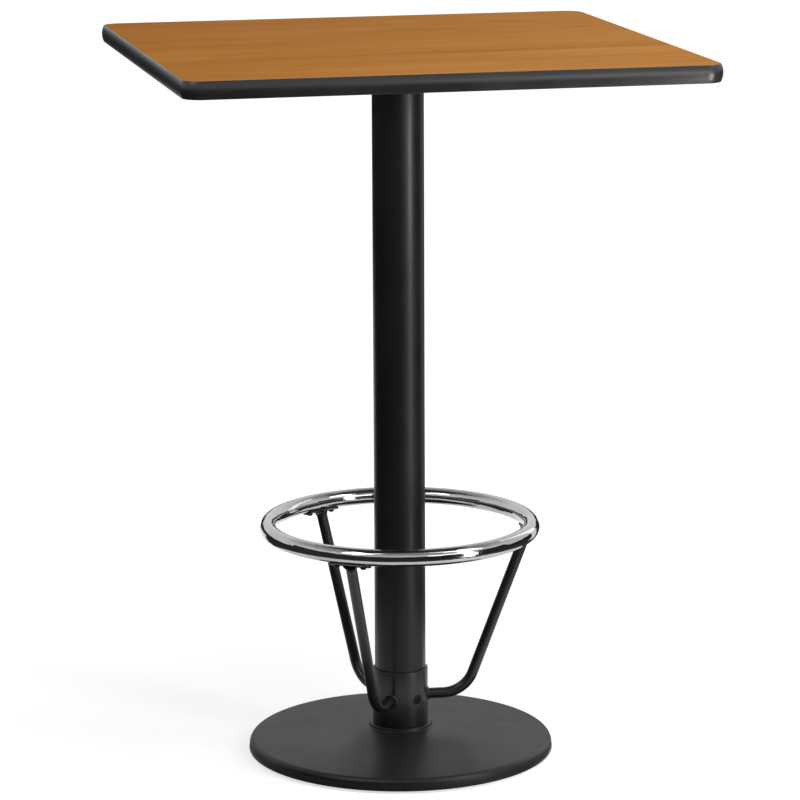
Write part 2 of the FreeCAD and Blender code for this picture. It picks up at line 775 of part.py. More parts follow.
def make_strut(count):
    """Bent rod from the collar to a saddle, with its weld beads."""
    body = new_body(f"strut_{LEG_NAMES[count]}", leg_turn(count))
    start = "collar_bore"
    path = new_sketch(body, "path", "XZ_Plane")
    outline(path, [
        (start, "leg_height"), ("leg_corner - bend_tangent", "leg_height"),
        ("leg_corner + bend_tangent * leg_out", "leg_height + bend_tangent * leg_up", "leg_bend", 1),
        ("leg_head", "ring_height - tube_radius"),
    ], closed=False)
    end = new_sketch(body, "rod_outline", "YZ_Plane", out=start)
    circle(end, "leg_radius", "0", "leg_height")
    rod = feature_on(body, "AdditivePipe", "rod", end)
    rod.Spine = (path, [])
    bead = new_sketch(body, "bead_section", "XZ_Plane", up="leg_height")
    outline(bead, [
        (start, f"leg_radius - {OVERLAP}"), ("collar_radius + bead_width", f"leg_radius - {OVERLAP}"),
        ("collar_radius - bead_lap", "leg_radius + bead_width", "bead_bend", 1),
        (start, "leg_radius + bead_width"),
    ])
    turned(body, "bead", bead, axis="H_Axis")
    low = new_sketch(body, "neck_low", "XY_Plane", out="neck_foot")
    circle(low, "leg_radius", "neck_foot_reach")
    high = new_sketch(body, "neck_high", "XY_Plane", out="saddle_floor + neck_lap")
    circle(high, "leg_radius + neck_flare", "leg_head")
    neck = feature_on(body, "AdditiveLoft", "neck", low)
    neck.Sections = [high]
    sleeve = new_sketch(body, "collar_outline", "XY_Plane")
    circle(sleeve, "collar_radius + weld_gap")
    pocket(body, "collar_cope", sleeve, "collar_top")
    hollow = new_sketch(body, "saddle_outline", "XZ_Plane")
    circle(hollow, "cradle_outer + weld_gap", "ring_radius", "ring_height")
    turned(body, "saddle_cope", hollow, kind="Groove")
    return body


def make_collar():
    """Sleeve round the foot of the column, tapped and countersunk between the legs for its grub screws."""
    body = new_body("collar", leg_turn(0, extra=f"180 / {LEGS}"))
    section = new_sketch(body, "section", "XZ_Plane")
    narrow = "collar_radius - collar_chamfer"
    outline(section, [
        ("collar_bore", "collar_foot"), (narrow, "collar_foot"),
        ("collar_radius", "collar_foot + collar_chamfer"), ("collar_radius", "collar_top - collar_chamfer"),
        (narrow, "collar_top"), ("collar_bore", "collar_top"),
    ])
    turned(body, "sleeve", section)
    hole = new_sketch(body, "hole_outline", "YZ_Plane")
    circle(hole, "grub_radius + grub_gap", "0", "leg_height")
    bore = pocket(body, "hole", hole, f"collar_radius + {OVERCUT}")
    funnel = new_sketch(body, "mouth_section", "XZ_Plane", up="leg_height")
    outline(funnel, [
        ("collar_radius - grub_mouth", "grub_radius"), (f"collar_radius + {OVERCUT}", "grub_radius"),
        (f"collar_radius + {OVERCUT}", f"grub_radius + grub_mouth + {OVERCUT}"),
    ])
    mouth = turned(body, "mouth", funnel, axis="H_Axis", kind="Groove")
    around(body, "holes", [bore, mouth], LEGS)
    return body


def make_grub_screw(count):
    """Grub screw with a hexagon socket, through the collar's wall."""
    body = new_body(f"set_screw_{count + 1}", leg_turn(count, extra=f"180 / {LEGS}"))
    section = new_sketch(body, "section", "XZ_Plane", up="leg_height")
    outline(section, [
        ("grub_tip", "0"), ("grub_head", "0"), ("grub_head", "grub_radius"),
        ("grub_tip + grub_chamfer", "grub_radius"), ("grub_tip", "grub_radius - grub_chamfer"),
    ])
    turned(body, "screw", section, axis="H_Axis")
    key = new_sketch(body, "key_outline", "YZ_Plane", up="leg_height", out="grub_head")
    hexagon(key, "hex_key")
    pocket(body, "key", key, "hex_depth", along=False)
    return body


def make_parts():
    """Every sub-part of the table, from the top down."""
    made = [
        make_core(),
        make_sheet("top_laminate", "overall_height - laminate_thickness", "laminate_thickness",
                   drilled=False),
        make_sheet("backer_sheet", "underside", "backer_thickness", drilled=True),
        make_edge_band(), make_spider(), make_spider_screws(),
        make_column(), make_tie_rod(), make_nuts(), *make_washers(),
        make_base(), *make_glides(),
        make_ring(), make_saddle_screws(), make_collar(),
    ]
    for count in range(LEGS):
        made += [make_strut(count), make_saddle(count), make_grub_screw(count)]
    return made


def check_document():
    """Stop if any object of the document has failed."""
    doc.recompute()
    failed = [item.Label for item in doc.Objects if {"Invalid", "Error"} & set(item.State)]
    if failed:
        raise ValueError(f"failed objects: {failed}")


def write_parts(made):
    """Check each sub-part's solids and write them, one file for each."""
    for item in made:
        shape = item.Shape
        if shape.isNull() or not shape.isValid() or not shape.Solids:
            raise ValueError(f"{item.Label} has no valid solid")
    os.makedirs("parts", exist_ok=True)
    for item in made:
        item.Shape.exportStep(os.path.join("parts", item.Label + ".step"))
        print(f"{item.Label}: {len(item.Shape.Solids)} solid(s), {item.Shape.Volume / 1000:.2f} cm3")


sub_parts = make_parts()
doc.removeObject(gauge.Name)
check_document()
write_parts(sub_parts)
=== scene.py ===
"""Dresses a bar-height pub table: its detailed pieces and their finishes, the floor, lamps and camera."""

import json
import logging
import math
from collections.abc import Iterable, Sequence
from dataclasses import dataclass
from enum import Enum
from functools import reduce

import bmesh
import bpy
from mathutils import Matrix, Vector


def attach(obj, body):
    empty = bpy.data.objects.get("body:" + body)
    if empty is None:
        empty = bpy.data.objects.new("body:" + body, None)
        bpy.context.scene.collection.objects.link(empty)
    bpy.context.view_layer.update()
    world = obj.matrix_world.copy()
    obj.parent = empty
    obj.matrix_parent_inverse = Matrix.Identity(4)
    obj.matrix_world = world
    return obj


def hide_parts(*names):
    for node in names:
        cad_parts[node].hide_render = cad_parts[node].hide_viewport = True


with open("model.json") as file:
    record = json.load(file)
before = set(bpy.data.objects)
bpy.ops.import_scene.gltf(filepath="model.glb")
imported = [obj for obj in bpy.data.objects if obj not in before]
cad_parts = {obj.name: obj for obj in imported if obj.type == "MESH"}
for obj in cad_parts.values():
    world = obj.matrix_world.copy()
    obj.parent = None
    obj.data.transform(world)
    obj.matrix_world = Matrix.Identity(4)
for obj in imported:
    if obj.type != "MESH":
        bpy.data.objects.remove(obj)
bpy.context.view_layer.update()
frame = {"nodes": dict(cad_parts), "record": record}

log = logging.getLogger("pub_table")

MM = 0.001
WELD = 0.002  # millimetres: points closer than this become one
HAIR = 0.001  # millimetres: points this close to a level count as on it
FULL_TURN = 360.0
ROUND_STEPS = 6  # edges of a rounded corner in a drawn outline
NOISE_SPAN = (0.3, 0.7)  # where most of a noise's values lie
WHITE = (1.0, 1.0, 1.0)

Color = tuple[float, float, float]
Span = tuple[float, float]
Point = Sequence[float]
Verts = list[bmesh.types.BMVert]
Value = float | int | Sequence[float] | bpy.types.NodeSocket


class Body(Enum):
    """The bodies that pieces ride on."""

    TABLE = "table"
    FOOT_REST = "foot_rest"
    GLIDE_1 = "glide_1"
    GLIDE_2 = "glide_2"
    GLIDE_3 = "glide_3"
    GLIDE_4 = "glide_4"


class Slot(Enum):
    """The record's material slots."""

    WOOD_LAMINATE = "wood_laminate"
    PARTICLEBOARD = "particleboard"
    BACKER = "backer"
    EDGE_VINYL = "edge_vinyl"
    BLACK_POWDER_COAT = "black_powder_coat"
    BLACK_CASTING = "black_casting"
    CHROME = "chrome"
    ZINC_STEEL = "zinc_steel"
    BLACK_SCREWS = "black_screws"
    NYLON = "nylon"


def turned(degrees: float, axis: str = "Z") -> Matrix:
    """A turn about an axis through the origin."""
    return Matrix.Rotation(math.radians(degrees), 4, axis)


def moved(x: float = 0.0, y: float = 0.0, z: float = 0.0) -> Matrix:
    """A move."""
    return Matrix.Translation((x, y, z))


def new_object(name: str, data: bpy.types.ID) -> bpy.types.Object:
    """Add an object to the scene.

    Args:
        name: The object's name.
        data: Its mesh, lamp or camera.

    Returns:
        The object, at the origin.
    """
    made = bpy.data.objects.new(name, data)
    bpy.context.scene.collection.objects.link(made)
    return made


# ---------------------------------------------------------------- node trees


class Graph:
    """Writes a node tree: adds nodes, sets their inputs and joins their sockets."""

    def __init__(self, tree: bpy.types.NodeTree) -> None:
        """Take the node tree of a material, a world or a group."""
        self.tree = tree

    def own(self, kind: str) -> bpy.types.Node:
        """The tree's own node of a type."""
        return next(node for node in self.tree.nodes if node.type == kind)

    def add(self, kind: str, inputs: dict[str | int, Value] | None = None,
            **settings: object) -> bpy.types.Node:
        """Add a node.

        Args:
            kind: The node's type name.
            inputs: Values of input sockets by name or index; an output socket given here is linked.
            **settings: The node's own properties.

        Returns:
            The new node.
        """
        node = self.tree.nodes.new(kind)
        for name, setting in settings.items():
            setattr(node, name, setting)
        self.set(node, inputs or {})
        return node

    def set(self, node: bpy.types.Node, inputs: dict[str | int, Value]) -> None:
        """Set a node's input sockets.

        Args:
            node: The node.
            inputs: Values by name or index; an output socket given here is linked.
        """
        for name, value in inputs.items():
            if isinstance(value, bpy.types.NodeSocket):
                self.tree.links.new(value, node.inputs[name])
            else:
                node.inputs[name].default_value = value

    def math(self, operation: str, *values: Value) -> bpy.types.NodeSocket:
        """Put numbers through a Math node and return its result."""
        return self.add("ShaderNodeMath", dict(enumerate(values)), operation=operation).outputs[0]

    def join(self, operation: str, values: Iterable[Value]) -> bpy.types.NodeSocket:
        """Put any count of numbers through one operation, two at a time."""
        return reduce(lambda sofar, value: self.math(operation, sofar, value), values)

    def mix(self, share: Value, first: Value, second: Value, blend: str = "MIX") -> bpy.types.NodeSocket:
        """Mix two colours: the share is how much of the second is used."""
        sockets = {0: share, 6: first, 7: second}
        return self.add("ShaderNodeMix", sockets, data_type="RGBA", blend_type=blend).outputs[2]

    def remap(self, value: Value, before: Span,
              after: tuple[Value, Value] = (0.0, 1.0)) -> bpy.types.NodeSocket:
        """Map a value from one range to another, and hold it at the ends.

        Args:
            value: The value.
            before: The range that it is in.
            after: The range that it goes to.

        Returns:
            The mapped value's socket.
        """
        names = ("From Min", "From Max", "To Min", "To Max")
        sockets = {"Value": value} | dict(zip(names, (*before, *after)))
        return self.add("ShaderNodeMapRange", sockets).outputs["Result"]

    def split(self, vector: Value) -> bpy.types.bpy_prop_collection:
        """A vector's X, Y and Z."""
        return self.add("ShaderNodeSeparateXYZ", {0: vector}).outputs

    def length(self, vector: Value) -> bpy.types.NodeSocket:
        """A vector's length."""
        return self.add("ShaderNodeVectorMath", {0: vector}, operation="LENGTH").outputs["Value"]

    def place(self, stretch: Point = (1, 1, 1), turn: float = 0.0,
              shift: Point = (0, 0, 0)) -> bpy.types.NodeSocket:
        """The object's own coordinates, turned about Z, shifted and stretched.

        Args:
            stretch: Factor along each axis.
            turn: Turn about Z, in degrees.
            shift: Shift in metres, before the stretch.

        Returns:
            The socket of the coordinates.
        """
        spot = self.add("ShaderNodeTexCoord").outputs["Object"]
        mapping = {"Vector": spot, "Location": shift, "Rotation": (0, 0, math.radians(turn))}
        sockets = {0: self.add("ShaderNodeMapping", mapping).outputs[0], 1: stretch}
        return self.add("ShaderNodeVectorMath", sockets, operation="MULTIPLY").outputs[0]

    def noise(self, scale: Value, stretch: Point = (1, 1, 1), turn: float = 0.0, detail: float = 3.0,
              rough: float = 0.5, distortion: float = 0.0) -> bpy.types.NodeSocket:
        """Add a noise texture on the object's own coordinates.

        Args:
            scale: Its cells per metre.
            stretch: Factor on the coordinates along each axis.
            turn: Their turn about Z, in degrees.
            detail: Its octaves.
            rough: How strong the finer octaves are.
            distortion: How far it is warped.

        Returns:
            The socket of the noise's value, near 0.5 on the whole.
        """
        sockets = {"Vector": self.place(stretch, turn), "Scale": scale, "Detail": detail, "Roughness": rough,
                   "Distortion": distortion}
        return self.add("ShaderNodeTexNoise", sockets).outputs[0]

    def bump(self, height: Value, relief: float, under: Value | None = None) -> bpy.types.NodeSocket:
        """A normal from a height, with its relief in metres, over another normal if one is given."""
        sockets = {"Height": height, "Distance": relief} | ({"Normal": under} if under else {})
        return self.add("ShaderNodeBump", sockets).outputs["Normal"]

    def effect(self, name: str, **values: Value) -> bpy.types.NodeSocket:
        """Put an effect's group in the tree.

        Args:
            name: The effect's name.
            **values: The group's inputs, in lower case.

        Returns:
            The socket of the group's output.
        """
        inputs = {label.capitalize(): (*value, 1) if isinstance(value, tuple) else value
                  for label, value in values.items()}
        return self.add("ShaderNodeGroup", node_tree=Effect.made[name], inputs=inputs).outputs[0]


class Effect:
    """A shader node group, built once and used by several finishes."""

    made: dict[str, bpy.types.NodeTree] = {}

    def __init__(self, name: str, inputs: dict[str, float | Color], output: str) -> None:
        """Make the group's sockets.

        Args:
            name: The group's name.
            inputs: Its inputs, with their usual values.
            output: Its output; one called Color carries a colour, and any other a number.
        """
        tree = Effect.made[name] = bpy.data.node_groups.new(name, "ShaderNodeTree")
        for label, usual in inputs.items():
            number = isinstance(usual, float)
            kind = "NodeSocketFloat" if number else "NodeSocketColor"
            socket = tree.interface.new_socket(label, in_out="INPUT", socket_type=kind)
            socket.default_value = usual if number else (*usual, 1)
        kind = "NodeSocketColor" if output == "Color" else "NodeSocketFloat"
        tree.interface.new_socket(output, in_out="OUTPUT", socket_type=kind)
        self.output = output
        self.graph = Graph(tree)
        self.given = self.graph.add("NodeGroupInput").outputs

    def close(self, result: bpy.types.NodeSocket) -> None:
        """Send a result to the group's output."""
        self.graph.add("NodeGroupOutput", {self.output: result})


def build_peel() -> None:
    """Make the skin of a coat or a moulding: low, even waves."""
    peel = Effect("surface_peel", {"Scale": 600.0}, "Height")
    peel.close(peel.graph.noise(scale=peel.given["Scale"], detail=2.0))


def build_handling() -> None:
    """Make the roughness of a handled surface: smears between a clean and a handled value."""
    touch = Effect("handling", {"Scale": 12.0, "Clean": 0.3, "Handled": 0.45}, "Roughness")
    smears = touch.graph.noise(scale=touch.given["Scale"], detail=5.0, rough=0.62, distortion=0.6)
    ends = (touch.given["Clean"], touch.given["Handled"])
    touch.close(touch.graph.remap(smears, before=(0.36, 0.7), after=ends))


def build_tone() -> None:
    """Make a cloudy change of tone between two colours."""
    tone = Effect("tone", {"Dark": (0.0, 0.0, 0.0), "Light": WHITE, "Scale": 20.0}, "Color")
    clouds = tone.graph.noise(scale=tone.given["Scale"], detail=4.0, rough=0.6)
    tone.close(tone.graph.mix(tone.graph.remap(clouds, NOISE_SPAN), tone.given["Dark"], tone.given["Light"]))


def build_hairlines() -> None:
    """Make hairline scratches in three directions."""
    hair = Effect("hairlines", {"Scale": 300.0}, "Height")
    cuts = []
    for turn in (17.0, 64.0, 121.0):
        lines = hair.graph.noise(scale=hair.given["Scale"], stretch=(1.0, 0.02, 0.4), turn=turn, detail=1.0)
        cuts.append(hair.graph.remap(lines, before=(0.66, 0.7)))
    hair.close(hair.graph.join("MAXIMUM", cuts))


def build_dust() -> None:
    """Make dust that lies in flecks on what faces up."""
    dust = Effect("settled_dust", {"Color": WHITE, "Dust": (0.5, 0.48, 0.45), "Amount": 0.1}, "Color")
    upward = dust.graph.split(dust.graph.add("ShaderNodeNewGeometry").outputs["Normal"])["Z"]
    level = dust.graph.remap(upward, before=(0.35, 1.0), after=(0.0, dust.given["Amount"]))
    flecks = dust.graph.noise(scale=260.0, detail=6.0, rough=0.7)
    flecks = dust.graph.remap(flecks, before=(0.4, 0.75), after=(0.1, 1.0))
    share = dust.graph.math("MULTIPLY", level, flecks)
    dust.close(dust.graph.mix(share, dust.given["Color"], dust.given["Dust"]))


# ---------------------------------------------------------------- finishes


def new_material(name: str) -> tuple[bpy.types.Material, Graph, bpy.types.Node]:
    """Make a material.

    Args:
        name: The material's name.

    Returns:
        The material, its graph and its Principled shader.
    """
    material = bpy.data.materials.new(name)
    material.use_nodes = True
    graph = Graph(material.node_tree)
    return material, graph, graph.own("BSDF_PRINCIPLED")


@dataclass(frozen=True)
class Finish:
    """A finish: its slot, the body that it is kept for, its shader's constants, its tone, wear and dust."""

    slot: Slot
    body: Body | None = None
    metallic: float = 0.0
    ior: float = 1.45
    specular: float = 0.5
    dark: Color = (0.02, 0.02, 0.02)
    light: Color = (0.03, 0.03, 0.03)
    tone_scale: float = 14.0
    roughness: float = 0.5
    wear: float = 0.1
    wear_scale: float = 12.0
    dust: float = 0.0
    relief: float = 0.01 * MM

    def material(self) -> bpy.types.Material:
        """Build the finish's material.

        Returns:
            A material with the finish's own patterns on a Principled shader.
        """
        kept_for = f"_{self.body.value}" if self.body else ""
        material, graph, shader = new_material(f"dressed_{self.slot.value}{kept_for}")
        color = self.color(graph)
        if self.dust:
            color = graph.effect("settled_dust", color=color, amount=self.dust)
        graph.set(shader, {
            "Metallic": self.metallic, "IOR": self.ior, "Specular IOR Level": self.specular,
            "Base Color": color,
            "Roughness": graph.effect("handling", scale=self.wear_scale, clean=self.roughness,
                                      handled=self.roughness + self.wear),
            "Normal": self.normal(graph),
        })
        return material

    def color(self, graph: Graph) -> Value:
        """The finish's colour: cloudy, between its dark and its light tone."""
        return graph.effect("tone", dark=self.dark, light=self.light, scale=self.tone_scale)

    def normal(self, graph: Graph) -> Value:
        """The finish's normal, from the pattern of its skin."""
        return graph.bump(self.skin(graph), self.relief)

    def skin(self, graph: Graph) -> Value:
        """The height of the finish's skin, from 0 to 1."""
        raise NotImplementedError


@dataclass(frozen=True)
class Coating(Finish):
    """Powder coat: close to one tone, with an orange-peel skin, handling marks and a little dust."""

    dark: Color = (0.0045, 0.0045, 0.0048)
    light: Color = (0.007, 0.007, 0.0075)
    tone_scale: float = 9.0
    dust: float = 0.01
    relief: float = 0.02 * MM
    peel_scale: float = 620.0

    def skin(self, graph: Graph) -> Value:
        """The coat's orange peel."""
        return graph.effect("surface_peel", scale=self.peel_scale)


@dataclass(frozen=True)
class Chrome(Finish):
    """Polished plate over bent tube: faint ripples, smears and hairline scratches."""

    metallic: float = 1.0
    dark: Color = (0.37, 0.375, 0.385)
    light: Color = (0.47, 0.475, 0.48)
    tone_scale: float = 30.0
    roughness: float = 0.035
    wear: float = 0.09
    wear_scale: float = 18.0
    relief: float = 0.002 * MM
    scratch_scale: float = 420.0
    ripple_scale: float = 48.0
    ripple_depth: float = 0.6 * MM

    def skin(self, graph: Graph) -> Value:
        """The plate's scratches."""
        return graph.effect("hairlines", scale=self.scratch_scale)

    def normal(self, graph: Graph) -> Value:
        """The scratches' normal, over the ripples that bending leaves in the tube."""
        ripples = graph.bump(graph.noise(self.ripple_scale, detail=2.0), self.ripple_depth)
        return graph.bump(self.skin(graph), self.relief, under=ripples)


@dataclass(frozen=True)
class PlainSteel(Finish):
    """Plated or blackened steel, drawn or rolled, with cloudy tone and fine tooling lines."""

    metallic: float = 1.0
    dark: Color = (0.42, 0.42, 0.40)
    light: Color = (0.62, 0.62, 0.60)
    tone_scale: float = 90.0
    roughness: float = 0.3
    wear: float = 0.2
    wear_scale: float = 60.0

    def skin(self, graph: Graph) -> Value:
        """Tooling lines across the height."""
        return graph.noise(scale=160.0, stretch=(1.0, 1.0, 30.0), detail=2.0)


@dataclass(frozen=True)
class Moulded(Finish):
    """Extruded vinyl or moulded nylon: a satin skin with faint flow lines along its run."""

    dust: float = 0.02
    relief: float = 0.012 * MM
    peel_scale: float = 900.0

    def skin(self, graph: Graph) -> Value:
        """The plastic's flow lines and peel."""
        flow = graph.noise(scale=700.0, stretch=(0.05, 0.05, 1.0), detail=2.0)
        return graph.math("ADD", flow, graph.effect("surface_peel", scale=self.peel_scale))


@dataclass(frozen=True)
class Particleboard(Finish):
    """Pressed wood chips in mixed browns."""

    dark: Color = (0.26, 0.15, 0.07)
    light: Color = (0.62, 0.45, 0.26)
    roughness: float = 0.8
    wear: float = 0.15
    wear_scale: float = 40.0
    dust: float = 0.05
    relief: float = 0.12 * MM
    chip_scale: float = 330.0
    chip_lie: Point = (1.0, 1.0, 2.4)

    def skin(self, graph: Graph) -> Value:
        """A height of each chip's own.

        Args:
            graph: The material's graph.

        Returns:
            The height's socket.
        """
        sockets = {"Vector": graph.place(self.chip_lie), "Scale": self.chip_scale}
        chips = graph.add("ShaderNodeTexVoronoi", sockets).outputs["Color"]
        return graph.add("ShaderNodeSeparateColor", {0: chips}).outputs[0]

    def color(self, graph: Graph) -> Value:
        """A tone of each chip's own."""
        return graph.mix(self.skin(graph), (*self.dark, 1), (*self.light, 1))


@dataclass(frozen=True)
class Backer(Finish):
    """Brown balancing sheet with the sanding marks of its back."""

    dark: Color = (0.085, 0.058, 0.036)
    light: Color = (0.135, 0.095, 0.060)
    tone_scale: float = 25.0
    roughness: float = 0.55
    wear: float = 0.17
    wear_scale: float = 16.0
    relief: float = 0.02 * MM

    def skin(self, graph: Graph) -> Value:
        """The sanding marks."""
        return graph.noise(scale=900.0, stretch=(1.0, 0.01, 1.0), turn=4.0)


@dataclass(frozen=True)
class WoodLaminate(Finish):
    """Printed laminate: flat-sawn boards along X, a joint, small knots and fine fibres under a matt face;
    painted shade and sheen make it darker at the left rear and paler at the right front.
    """

    specular: float = 0.005
    dark: Color = (0.330, 0.118, 0.011)
    light: Color = (0.445, 0.190, 0.038)
    wear: float = 0.08
    wear_scale: float = 7.0
    relief: float = 0.004 * MM
    grain_turn: float = -3.0
    green_fall: float = 1.15
    blue_fall: float = 1.6
    # Painted light: these tilt the mix of the dark and light tone across the top, darker at the left rear and
    # paler at the right front, as light from the right would; pale_drift adds random tone.
    painted_light_along: float = 0.95
    painted_light_across: float = -0.4
    painted_light_start: float = 0.30
    pale_drift: float = 0.70
    joint: float = -0.147
    joint_slope: float = 0.06
    joint_wander: float = 0.008
    joint_edge: float = 0.0008
    joint_fade: Span = (-0.30, 0.02)
    joint_faint: float = 0.25
    rear_reach: float = 0.080
    rear_shade: float = 0.15
    front_reach: float = 0.120
    front_shine: float = 0.05
    knots: tuple[Point, ...] = ((0.065, 0.179, 0.030), (0.227, 0.253, 0.020), (-0.21, -0.29, 0.016))
    knot_draw: float = 0.42
    knot_span: Span = (0.35, 1.6)
    knot_shade: float = 0.84
    figure_middle: Point = (0.12, -0.14, 0.0)
    figure_span: Span = (0.02, 0.17)

    def streaks(self, graph: Graph, scale: float, along: float, across: float = 1.0, **more: float) -> Value:
        """Noise that is drawn out along the grain."""
        return graph.noise(scale, (along, across, 1.0), self.grain_turn, **more)

    def skin(self, graph: Graph) -> Value:
        """The pores."""
        return self.streaks(graph, scale=900.0, along=0.03, detail=2.0)

    def color(self, graph: Graph) -> Value:
        """The print's colour: a drifting tone with painted shade at the left rear and painted sheen at the
        right front, darkened by the figure, more in green and blue than in red.

        Args:
            graph: The material's graph.

        Returns:
            The colour's socket.
        """
        spot = graph.split(graph.place())
        shade = graph.join("MULTIPLY", (
            self.clouds(graph), self.boards(graph, spot["X"], spot["Y"]), self.dark_knots(graph),
            self.figure(graph), self.fibres(graph)))
        sockets = {0: shade, 1: graph.math("POWER", shade, self.green_fall),
                   2: graph.math("POWER", shade, self.blue_fall)}
        tint = graph.add("ShaderNodeCombineColor", sockets).outputs[0]
        # The mix between the dark and the light tone carries painted shade and painted sheen.
        tone = graph.mix(self.painted_light_share(graph, spot["X"], spot["Y"]), (*self.dark, 1), (*self.light, 1))
        return graph.mix(1.0, tone, tint, "MULTIPLY")

    def painted_light_share(self, graph: Graph, x: Value, y: Value) -> Value:
        """How pale the wood is: painted shade and sheen across the top, plus a random drift of tone.

        Args:
            graph: The material's graph.
            x: The place along the boards.
            y: The place across them.

        Returns:
            The share of the light tone, from 0 at the left rear (painted shade) to 1 at the right front
            (painted sheen).
        """
        drift = graph.noise(scale=2.6, stretch=(1.0, 3.0, 1.0), rough=0.45)
        value = graph.math("MULTIPLY_ADD", y, self.painted_light_across, self.painted_light_start)
        value = graph.math("MULTIPLY_ADD", x, self.painted_light_along, value)
        return graph.remap(graph.math("MULTIPLY_ADD", drift, self.pale_drift, value), (0.0, 1.0))

    def clouds(self, graph: Graph) -> Value:
        """Broad light and dark streaks along the grain."""
        broad = self.streaks(graph, scale=2.0, along=0.55, across=6.0, detail=4.0, distortion=0.5)
        return graph.remap(broad, NOISE_SPAN, after=(0.92, 1.08))

    def boards(self, graph: Graph, x: Value, y: Value) -> Value:
        """The joint of two boards: darker behind it and lighter in front, and fading to the left.

        Args:
            graph: The material's graph.
            x: The place along the boards.
            y: The place across them.

        Returns:
            The shade, near 1.
        """
        wander = graph.noise(scale=9.0, stretch=(1.0, 0.0, 0.0), detail=2.0)
        line = graph.math("MULTIPLY_ADD", x, self.joint_slope, self.joint)
        behind = graph.math("SUBTRACT", y, graph.math("MULTIPLY_ADD", wander, self.joint_wander, line))
        edge = (-self.joint_edge, self.joint_edge)
        rear = graph.math("MULTIPLY", graph.remap(behind, (0.0, self.rear_reach), (self.rear_shade, 0.0)),
                          graph.remap(behind, edge))
        front = graph.math("MULTIPLY", graph.remap(behind, (-self.front_reach, 0.0), (0.0, self.front_shine)),
                           graph.remap(behind, edge, (1.0, 0.0)))
        fade = graph.remap(x, self.joint_fade, (self.joint_faint, 1.0))
        return graph.math("MULTIPLY_ADD", graph.math("SUBTRACT", front, rear), fade, 1.0)

    def dark_knots(self, graph: Graph) -> Value:
        """Small dark knots, each drawn out along the grain.

        Args:
            graph: The material's graph.

        Returns:
            The shade, 1 where there is no knot.
        """
        shades = []
        for x, y, size in self.knots:
            away = graph.length(graph.place((self.knot_draw, 1.0, 0.0), shift=(-x, -y, 0.0)))
            rough = graph.noise(scale=60.0, stretch=(1.0, 3.0, 1.0))
            away = graph.math("MULTIPLY_ADD", rough, size, away)
            reach = tuple(size * share for share in self.knot_span)
            shades.append(graph.remap(away, reach, (self.knot_shade, 1.0)))
        return graph.join("MULTIPLY", shades)

    def figure(self, graph: Graph) -> Value:
        """Arched growth lines, strong in places and gone elsewhere.

        Args:
            graph: The material's graph.

        Returns:
            The shade, 1 between the lines.
        """
        rings = graph.add("ShaderNodeTexWave", {
            "Vector": graph.place((0.13, 1.0, 1.0), self.grain_turn, self.figure_middle), "Scale": 17.0,
            "Distortion": 4.0, "Detail": 3.0, "Detail Scale": 1.5, "Detail Roughness": 0.6,
        }, wave_type="RINGS", rings_direction="Z")
        lines = graph.remap(rings.outputs["Fac"], before=(0.0, 0.35), after=(1.0, 0.0))
        where = self.streaks(graph, scale=1.9, along=1.6, across=5.0, detail=2.0)
        strength = graph.remap(where, before=(0.40, 0.62), after=self.figure_span)
        return graph.math("SUBTRACT", 1.0, graph.math("MULTIPLY", lines, strength))

    def fibres(self, graph: Graph) -> Value:
        """Fine and coarse fibres along the grain, in equal shares.

        Args:
            graph: The material's graph.

        Returns:
            The shade, near 1.
        """
        fine = self.streaks(graph, scale=520.0, along=0.014, detail=4.0, rough=0.65)
        coarse = self.streaks(graph, scale=110.0, along=0.03)
        both = graph.math("ADD", *(graph.math("MULTIPLY", half, 0.5) for half in (fine, coarse)))
        return graph.remap(both, NOISE_SPAN, after=(0.90, 1.10))


FINISHES = (
    WoodLaminate(Slot.WOOD_LAMINATE),
    Particleboard(Slot.PARTICLEBOARD),
    Backer(Slot.BACKER),
    Moulded(Slot.EDGE_VINYL, dark=(0.013, 0.013, 0.014), light=(0.018, 0.018, 0.019), roughness=0.28),
    # One black powder coat: the column's copy is painted darker (painted shade) and the foot rest's copy
    # lighter (painted light).
    Coating(Slot.BLACK_POWDER_COAT, ior=1.38, dark=(0.0032, 0.0032, 0.0035), light=(0.0052, 0.0052, 0.0056),
            roughness=0.31, wear=0.09),
    Coating(Slot.BLACK_POWDER_COAT, Body.FOOT_REST, ior=1.47, light=(0.0075, 0.0075, 0.008), roughness=0.26),
    Coating(Slot.BLACK_CASTING, ior=1.315, roughness=0.36, wear=0.06, peel_scale=420.0, relief=0.05 * MM,
            dust=0.03),
    Chrome(Slot.CHROME),
    PlainSteel(Slot.ZINC_STEEL),
    PlainSteel(Slot.BLACK_SCREWS, metallic=0.9, dark=(0.009, 0.009, 0.010), light=(0.022, 0.022, 0.024),
               roughness=0.35),
    Moulded(Slot.NYLON),
)


class Paints:
    """The finishes' materials, by slot and body."""

    made: dict[tuple[Slot, Body | None], bpy.types.Material] = {}

    @classmethod
    def mix(cls, finishes: Iterable[Finish]) -> None:
        """Build the materials: one for each slot, and those that are kept for a body."""
        cls.made.update({(finish.slot, finish.body): finish.material() for finish in finishes})

    @classmethod
    def material(cls, slot: Slot, body: Body | None) -> bpy.types.Material:
        """The material of a slot on a body: the one kept for that body, if there is one."""
        return cls.made.get((slot, body)) or cls.made[slot, None]

    @classmethod
    def dress_node(cls, name: str) -> None:
        """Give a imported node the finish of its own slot.

        Args:
            name: The node's name.
        """
        record = frame["record"]
        slot = next(row["material_slot"] for row in record["subparts"] if row["node"] == name)
        on_rest = name in record["behaviour"]["bodies"][Body.FOOT_REST.value]
        for holder in frame["nodes"][name].material_slots:
            holder.material = cls.material(Slot(slot), Body.FOOT_REST if on_rest else None)


# ---------------------------------------------------------------- modelling


